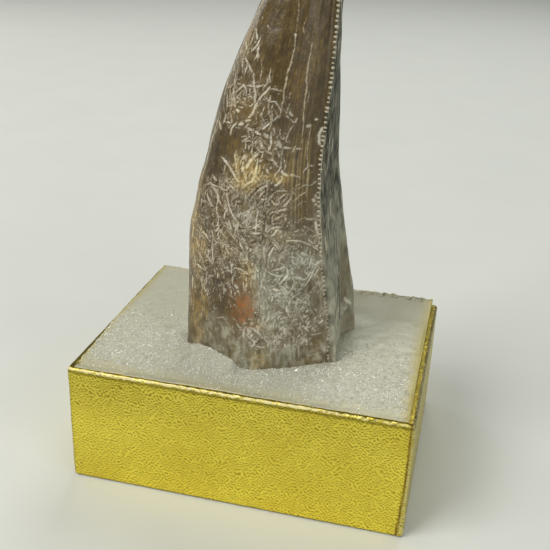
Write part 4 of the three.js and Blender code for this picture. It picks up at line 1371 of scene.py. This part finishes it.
# Along the front rim this layer is painted highlight; on the flap, the right rim and the front right corner
# the film is rubbed and pale paper shows.
rubbed_and_highlight = highest(
    front_rim_highlight, 0.36 * flap, 0.35 * right_rim * smooth(inwards, 0.6, 0.3), 0.4 * front_corner
)

# Painted shade: the film is darkened under the rim, along the upright edges and the foot, on the right side
# and its rim, towards the top left, where the wall mirrors the darker room above, and inside the rim beside
# the pad. The flap is darkened a little too.
at_corner = np.minimum(np.abs(outline_normal[:, 0]), np.abs(outline_normal[:, 1]))
under_rim = np.exp(-(((up + 1.5 * frayed - RIM_Z + 0.76) / 0.3) ** 2))
upright_edge = smooth(at_corner, 0.05, 0.6)[None] * (1 - flap)
foot = smooth(up, 0.55, 0.2)
crease_and_edge_shade = highest(0.8 * under_rim, 0.55 * upright_edge, 0.4 * flap, 0.6 * foot)
to_left = smooth(foil_points[..., 0], 0, -24)
inner_edge = smooth(inwards + frayed, 0.12, 0.26) * (outline_normal[:, 0] < 0.5)
folds_and_painted_shade = highest(
    crease_and_edge_shade * outer_row[:, None] * outer_wall,
    (0.14 + 0.12 * to_left) * smooth(up, 9, 19) * outer_wall,
    0.4 * right_side * (up < RIM_Z - 0.5),
    right_rim * (0.9 + 0.07 * smooth(inwards + frayed, 0.45, 0.2)),
    0.97 * inner_edge * on_rim * (up > RIM_Z - 1),
)
# The second share is that of painted shade.
print("share rubbed and share dull:", [round(float((layer > 0.3).mean()), 3) for layer in (rubbed_and_highlight, folds_and_painted_shade)])

# %% One mesh for the foil
row, column = grid_cells(foil_rows, foil_columns, closed=True)
foil_quads = row * foil_columns + column % foil_columns
foil_uv = flat_foil[row, column].reshape(-1, 2)
middle = foil_rows * foil_columns
side = np.arange(foil_columns)
after = (side + 1) % foil_columns
last_row = (foil_rows - 1) * foil_columns
under = np.stack([after, side, side * 0 + middle], -1)
over = np.stack([last_row + side, last_row + after, side * 0 + middle + 1], -1)
foil = make_piece(
    "foil_cover",
    np.concatenate([foil_points.reshape(-1, 3), [(0, 0, 0), (0, 0, PAPER)]]),
    [foil_quads, under, over],
    foil_finish,
    {name: np.append(values.ravel(), [0, 0]) for name, values in zip(FOIL_LAYERS, (folds_and_painted_shade, rubbed_and_highlight, seam))},
    np.concatenate([foil_uv, np.zeros((len(under) * 6, 2))]),
)
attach(foil, "root")
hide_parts("foil_wrap")

# %% [markdown]
# ## The wadding pad
#
# The pad is a block of polyester wadding whose surface fibres were melted together with resin, so that
# it looks like packed sugar: a pale skin full of tiny glints. It is springy and a little too big for its
# box. So it rides over the rim at the front, the left and the back, stands up in a torn edge at the back
# right, and just laps onto the rim's inner edge at the right.
#
# It could be a particle system, but a closed skin with loose grains on it is lighter. The skin's top is
# a grid lifted by layers of random grain and pressed in under the tooth. A few border rings carry it down
# over the rim, back to the inner wall and to the bottom.

# %% The pad's outline
PAD_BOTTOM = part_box("wadding_pad")[0][2] / MM
PAD_STEP = 0.2  # mm between points of the mesh
WALL_X, WALL_Y = HALF_X - RIM_WIDTH - 0.08, HALF_Y - RIM_WIDTH - 0.08  # the pad's room inside the foil

pad_columns, pad_rows = int(2 * WALL_X / PAD_STEP), int(2 * WALL_Y / PAD_STEP)
across = np.linspace(-1, 1, pad_columns)[None]
deep = np.linspace(-1, 1, pad_rows)[:, None]
shape = (pad_rows, pad_columns)


def value_noise(shape, cell, seed):
    """Smooth random bumps of about cell grid points: a coarse grid of random heights, blended by
    smoothstep between its points. Heights have a spread of about 1."""
    coarse = np.random.default_rng(seed).normal(size=(int(shape[0] / cell) + 3, int(shape[1] / cell) + 3))
    row_at, column_at = np.arange(shape[0]) / cell, np.arange(shape[1]) / cell
    r, c = row_at.astype(int), column_at.astype(int)
    fr, fc = smooth(row_at % 1, 0, 1)[:, None], smooth(column_at % 1, 0, 1)[None]
    near = coarse[r][:, c] * (1 - fc) + coarse[r][:, c + 1] * fc
    far = coarse[r + 1][:, c] * (1 - fc) + coarse[r + 1][:, c + 1] * fc
    return near * (1 - fr) + far * fr


torn = value_noise(shape, 5, 65) * 0.6 + value_noise(shape, 2, 66) * 0.5
left = -WALL_X - 0.45 * smooth(deep, -0.8, -0.3) + 0.07 * torn[:, :1]
right = WALL_X + 0.3 - 0.06 * (1 - deep**2)
front = -HALF_Y + 0.3 + 0.03 * torn[:1]
back = WALL_Y + 0.95 + 0.1 * torn[-1:]
pad_x = left + (right - left) * (across + 1) / 2
pad_y = front + (back - front) * (deep + 1) / 2
print(pad_rows, "rows of", pad_columns, "points in the pad's top")

# %% Heights of the pad: grain, and at each edge its own height over the rim, faded in from the middle
near_left = smooth(pad_x, -WALL_X + 5, -WALL_X)
near_right = smooth(pad_x, WALL_X - 2.6, WALL_X + 0.3)
near_back = smooth(pad_y, WALL_Y - 5, WALL_Y + 0.5)
near_front = smooth(pad_y, -WALL_Y + 2.0, -WALL_Y - 0.4)
pad_z = RIM_Z + 0.3 + 0.12 * near_left + 0.2 * near_back - 0.17 * near_front - 0.3 * near_left * near_front
pad_z = pad_z - 0.2 * near_right * smooth(deep, 0.85, 0.3)
stands_up = smooth(across, 0.0, 0.95) * smooth(deep, 0.6, 0.98)
pad_z = pad_z + 0.6 * stands_up
pad_z = pad_z + 0.08 * value_noise(shape, 18, 60)
GRAIN = [(0.05, 6, 61), (0.018, 2.6, 62), (0.008, 1.3, 63)]  # height in mm, size in points, seed
fine_grain = sum(rise * value_noise(shape, cell, seed) for rise, cell, seed in GRAIN)
pad_z = pad_z + fine_grain * smooth(deep, 1.0, -0.4)  # smoother towards the back, where it is matted
pad_z = pad_z + 0.16 * torn * (stands_up + 0.4 * near_back) * smooth(deep, 0.9, 0.99)
over_rim = (np.abs(pad_x) > WALL_X) | (np.abs(pad_y) > WALL_Y)
least = np.where(pad_y < -WALL_Y, 0.12, np.where(pad_x > 0, 0.2, 0.3))
pad_z = np.where(over_rim, np.maximum(pad_z, RIM_Z + least), pad_z)
print("pad's edges from", round(float(pad_z[over_rim].min() - RIM_Z), 2), "mm over the rim")

# %% The dip round the tooth's base, which is seen as a radius for each direction
SEAT_Z = BREAK_Z - 0.16  # under the tooth
HEAP, HEAP_ROUND = 1.45, (14.3, 15.9, 22, 26)  # mm: wadding pushed up beside the base, and where round it

base_ring = crown[2, :, :2] - np.array([0, ROOT_Y])
ring_angle, ring_radius = np.arctan2(base_ring[:, 1], base_ring[:, 0]), np.hypot(*base_ring.T)
order = np.argsort(ring_angle)
angle_here = np.arctan2(pad_y - ROOT_Y, pad_x)
radius_here = np.interp(angle_here, ring_angle[order], ring_radius[order], period=2 * np.pi)
outside = np.hypot(pad_x, pad_y - ROOT_Y) - radius_here
round_here = np.interp(angle_here, ring_angle[order], u[2][order], period=2 * np.pi)
pushed_up = HEAP * smooth(round_here, *HEAP_ROUND[:2]) * smooth(round_here, HEAP_ROUND[3], HEAP_ROUND[2])
pad_z = pad_z + (pushed_up - 0.28) * np.exp(-np.maximum(outside, 0) / 1.8)
pad_z = pad_z + (SEAT_Z - pad_z) * smooth(-outside, 0.05, 0.9)
print("pad top from", round(float(pad_z.min()), 2), "to", round(float(pad_z.max()), 2), "mm")

# %% [markdown]
# ## The finish of the pad
#
# Spun polyester is nearly colourless, with an IOR of about 1.58, and the resin on it has a little less.
# Thousands of glazed fibre ends scatter white and throw small hard glints. Clear fibres one by one would
# be truer, but they are far too many. So the skin is a pale solid that light sinks into, with a fine
# grain. Three layers of the mesh tint it: a painted pool of paler, bluer light at the front middle,
# painted shade at the back right, and next to the foil a cast of its gold, as light that comes back
# from the metal.

# %% Material: resin-glazed polyester wadding
PAD_TINTS = {"painted_light_front": "#CACEC6", "painted_shade_back": "#8A8A72", "near_wall": "#A69848"}  # layer: colour
WADDING_DEPTH = {
    "Subsurface Weight": 0.6, "Subsurface Radius": (1.0, 0.95, 0.8), "Subsurface Scale": 1.0 * MM,
}
wadding, tree, solid = new_material("resin_glazed_polyester_wadding")
grain = add(tree, "TexNoise", solid, named={"Scale": 2.2, "Detail": 4.0, "Distortion": 0.4})
clumps = add(tree, "TexNoise", solid, named={"Scale": 0.4, "Detail": 3.0})
clump_share = add(tree, "MapRange", clumps, 0.35, 0.65, 0.0, 0.4)
grain_share = add(tree, "MapRange", grain, 0.35, 0.65)
wadding_colour = add(tree, "Mix", grain_share, linear("#ABAB98"), linear("#B9B9A8"), data_type="RGBA")
wadding_colour = add(tree, "Mix", clump_share, wadding_colour, linear("#ABAC9B"), data_type="RGBA")
for name, paint in PAD_TINTS.items():
    share = add(tree, "Attribute", attribute_name=name).outputs["Fac"]
    wadding_colour = add(tree, "Mix", share, wadding_colour, linear(paint), data_type="RGBA")
wadding_bump = add(tree, "Bump", named={"Strength": 0.5, "Distance": 0.06 * MM, "Height": grain})
wadding_shader = add(
    tree, "BsdfPrincipled", wadding_colour,
    named={"Roughness": 0.4, "IOR": 1.55, "Normal": wadding_bump, **WADDING_DEPTH},
)
add(tree, "OutputMaterial", wadding_shader)
print(len(tree.nodes), "nodes in the wadding")

# %% The top and its border rings, down over the rim and inside the wall
top = np.stack([pad_x, pad_y, pad_z], -1).reshape(-1, 3)
row, column = grid_cells(pad_rows, pad_columns, closed=False)
top_quads = row * pad_columns + column
numbers = np.arange(pad_rows * pad_columns).reshape(pad_rows, pad_columns)
border = np.concatenate([numbers[0, :-1], numbers[:-1, -1], numbers[-1, :0:-1], numbers[:0:-1, 0]])
lip = top[border].copy()
lip[:, 2] = RIM_Z + np.where(lip[:, 1] < -WALL_Y, 0.06, 0.14)
tucked = lip.copy()
tucked[:, 0] = np.clip(lip[:, 0], -WALL_X, WALL_X)
tucked[:, 1] = np.clip(lip[:, 1], -WALL_Y, WALL_Y)
tucked[:, 2] -= 0.02
foot = tucked.copy()
foot[:, 2] = PAD_BOTTOM
rings = [top, lip, tucked, foot]
ring_numbers = [border] + [len(top) + len(border) * i + np.arange(len(border)) for i in range(3)]
skirts = [
    np.stack([high, low, np.roll(low, -1), np.roll(high, -1)], -1)
    for high, low in zip(ring_numbers[:-1], ring_numbers[1:])
]
centre = len(top) + 3 * len(border)
bottom_fan = np.stack([np.roll(ring_numbers[3], -1), ring_numbers[3], ring_numbers[3] * 0 + centre], -1)
print(len(border), "points in each border ring")

# %% Layers and mesh of the pad
def cast(distance, reach):
    """How strongly the foil tints the wadding: exp(-(d / reach)^1.5) of the distance d from the edge."""
    return np.exp(-((np.maximum(distance, 0) / reach) ** 1.5))


gold_cast = highest(
    cast(right - pad_x, 1.4),
    0.7 * cast(pad_x - left, 0.7),
    0.4 * cast(pad_y - front, 3.0),
    0.3 * cast(back - pad_y, 0.9),
    # painted shade at the back right: darker and yellower
    0.1 * smooth(deep, 0.2, 0.9) * smooth(across, -0.4, 0.5),
)
# Painted light: a paler, bluer pool in front of the tooth, lifting the pad where it lies in shade.
painted_light_front = 0.45 * np.exp(-((pad_x - 3) ** 2) / 300 - (pad_y + 16) ** 2 / 30)
# Painted shade: the pad is darker at the back right.
painted_shade_back = smooth(deep, 0.3, 0.95) * smooth(across, -0.1, 0.35)
spare_points = np.zeros(3 * len(border) + 1)
pad_layers = {
    "near_wall": np.append(gold_cast.ravel(), spare_points + 0.8),
    "painted_light_front": np.append(painted_light_front.ravel(), spare_points),
    "painted_shade_back": np.append(painted_shade_back.ravel(), spare_points),
}
pad = make_piece(
    "glazed_pad", np.concatenate(rings + [[(0, 0, PAD_BOTTOM)]]), [top_quads, *skirts, bottom_fan], wadding,
    pad_layers,
)
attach(pad, "root")
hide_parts("wadding_pad")

# %% [markdown]
# ## Fibres and glazed grains
#
# What makes wadding read as wadding is the loose stuff on its skin: short fused fibres lying every way,
# and beads of glaze that flash. Each is a joined mesh of many tiny closed solids with very few faces, all
# placed by whole arrays. A fibre is a three-sided rod and a grain is a skewed octahedron, whose flat
# faces catch the lamps one at a time. Both are drawn thicker than the real 0.03 mm, or they would
# vanish.

# %% Where they lie, and how they are turned
def scatter(count, seed):
    """Up to count random places on the pad's top, outside the tooth, with the height of the pad there.
    There are fewer at the back, where the pad is matted, and by the right wall and the front rim, where
    it is pressed together."""
    dice = np.random.default_rng(seed)
    row = dice.uniform(0.6, pad_rows - 1.6, 2 * count)
    column = dice.uniform(0.6, pad_columns - 1.6, 2 * count)
    r, c = row.astype(int), column.astype(int)
    frothy = dice.uniform(size=2 * count) < smooth(deep[r, 0], 0.3, -0.5)
    frothy &= dice.uniform(size=2 * count) < smooth((right - pad_x)[r, c], 0.3, 2.4)
    frothy &= dice.uniform(size=2 * count) < 0.1 + 0.9 * smooth((pad_y - front)[r, c], 0.5, 3.6)
    keep = np.flatnonzero((outside[r, c] > 0.05) & frothy)[:count]
    r, c = r[keep], c[keep]
    fr, fc = (row[keep] % 1)[:, None], (column[keep] % 1)[:, None]
    grid = top.reshape(pad_rows, pad_columns, 3)
    near = grid[r, c] * (1 - fc) + grid[r, c + 1] * fc
    far = grid[r + 1, c] * (1 - fc) + grid[r + 1, c + 1] * fc
    return near * (1 - fr) + far * fr, dice


def solids_at(places, axes, points, faces):
    """Copies of one small solid: its points are carried by each place's three axes, and joined."""
    placed = places[:, None] + np.einsum("pk,bkc->bpc", points, axes)
    offsets = (np.arange(len(places)) * len(points))[:, None, None]
    return placed.reshape(-1, 3), (faces + offsets).reshape(-1, faces.shape[1])


def random_axes(dice, count, lift):
    """Three right-angled unit axes for each place; lift is how far the first may tilt out of the level."""
    turn = dice.uniform(0, 2 * np.pi, count)
    tilt = dice.normal(0, lift, count)
    first = np.stack([np.cos(turn) * np.cos(tilt), np.sin(turn) * np.cos(tilt), np.sin(tilt)], -1)
    second = np.cross(first, dice.normal(size=(count, 3)))
    second /= np.linalg.norm(second, axis=1, keepdims=True)
    return np.stack([first, second, np.cross(first, second)], 1)


# %% Fused fibres, as three-sided rods
FIBRES, FIBRE_RADIUS = 2800, 0.045  # at most how many, mm

places, dice = scatter(FIBRES, 90)
axes = random_axes(dice, len(places), 0.16)
axes[:, 0] *= dice.lognormal(-0.45, 0.35, (len(places), 1))
axes[:, 1:] *= FIBRE_RADIUS * dice.lognormal(0, 0.25, (len(places), 1, 1))
rod_angle = np.radians([90, 210, 330])
rod = np.array([(end, math.cos(a), math.sin(a)) for end in (-0.5, 0.5) for a in rod_angle])
rod_sides = np.array([(0, 1, 4, 3), (1, 2, 5, 4), (2, 0, 3, 5)])[:, ::-1]
rod_faces = np.concatenate([rod_sides[:, [0, 1, 2]], rod_sides[:, [0, 2, 3]], [(0, 1, 2)], [(3, 5, 4)]])
fibre_points, fibre_faces = solids_at(places + (0, 0, 0.03), axes, rod, rod_faces)
print(len(places), "fibres")

# %% Glazed grains, as skewed octahedra
GRAINS, GRAIN_SIZE = 7000, 0.12  # at most how many, mm

places, dice = scatter(GRAINS, 91)
axes = random_axes(dice, len(places), 1.2)
axes = axes * (GRAIN_SIZE * dice.lognormal(0, 0.4, (len(places), 3)))[..., None]
octahedron = np.array([(1, 0, 0), (-1, 0.2, 0), (0, 1, 0), (0.2, -1, 0), (0, 0, 1), (0, 0.1, -1)])
octahedron_faces = np.array([
    (0, 2, 4), (2, 1, 4), (1, 3, 4), (3, 0, 4), (2, 0, 5), (1, 2, 5), (3, 1, 5), (0, 3, 5),
])
grain_points, grain_faces = solids_at(places + (0, 0, 0.02), axes, octahedron, octahedron_faces)
print(len(places), "grains")

# %% [markdown]
# ## The finish of the fibres
#
# These are solid polyester with a glaze over it: clearer and shinier than the matted skin below, so the
# roughness is low and the light sinks in less deep. Clumps vary their tint a little, and small spots are
# painted near white, as painted glints that show from every side. Glass would be truer for one fibre,
# but thousands of clear ones would turn grey.

# %% Material: clear glazed fibre ends
glaze, tree, solid = new_material("clear_glazed_fibre_ends")
clumps = add(tree, "TexNoise", solid, named={"Scale": 0.55, "Detail": 3.0})
clumps = add(tree, "MapRange", clumps, 0.35, 0.65)
glaze_colour = add(tree, "Mix", clumps, linear("#C1C1B2"), linear("#D6D6CB"), data_type="RGBA")
painted_glints = add(tree, "TexNoise", solid, named={"Scale": 3.0, "Detail": 1.0})
painted_glints = add(tree, "MapRange", painted_glints, 0.55, 0.64)
glaze_colour = add(tree, "Mix", painted_glints, glaze_colour, linear("#F4F4EE"), data_type="RGBA")
GLAZE_DEPTH = {"Subsurface Weight": 0.7, "Subsurface Radius": (1.0, 1.0, 1.0), "Subsurface Scale": 0.25 * MM}
glaze_shader = add(
    tree, "BsdfPrincipled", glaze_colour, named={"Roughness": 0.12, "IOR": 1.58, **GLAZE_DEPTH}
)
add(tree, "OutputMaterial", glaze_shader)

# %% One mesh for the fibres and grains
fibres = make_piece(
    "wadding_fibres",
    np.concatenate([fibre_points, grain_points]),
    [fibre_faces, grain_faces + len(fibre_points)],
    glaze,
    shade_smooth=False,
)
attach(fibres, "root")

# %% [markdown]
# ## The board tray
#
# Under the foil is a tray of grey board, pressed from recycled paper: dull, slightly fibrous, with
# darker flecks. It could be left out, since the foil covers it, but then the box would be hollow. The
# solid model's tray has the right shape, so it stays and only gets its finish.

# %% Material: recycled grey board
board, tree, solid = new_material("recycled_grey_board")
flecks = add(tree, "TexNoise", solid, named={"Scale": 1.4, "Detail": 4.0})
flecks = add(tree, "MapRange", flecks, 0.35, 0.6)
board_colour = add(tree, "Mix", flecks, linear("#7D786E"), linear("#A29D92"), data_type="RGBA")
board_bump = add(tree, "Bump", named={"Strength": 0.4, "Distance": 0.05 * MM, "Height": flecks})
board_shader = add(tree, "BsdfPrincipled", board_colour, named={"Roughness": 0.92, "Normal": board_bump})
add(tree, "OutputMaterial", board_shader)
tray_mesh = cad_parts["board_tray"].data
tray_mesh.materials.clear()
tray_mesh.materials.append(board)
print(len(tree.nodes), "nodes in the board")
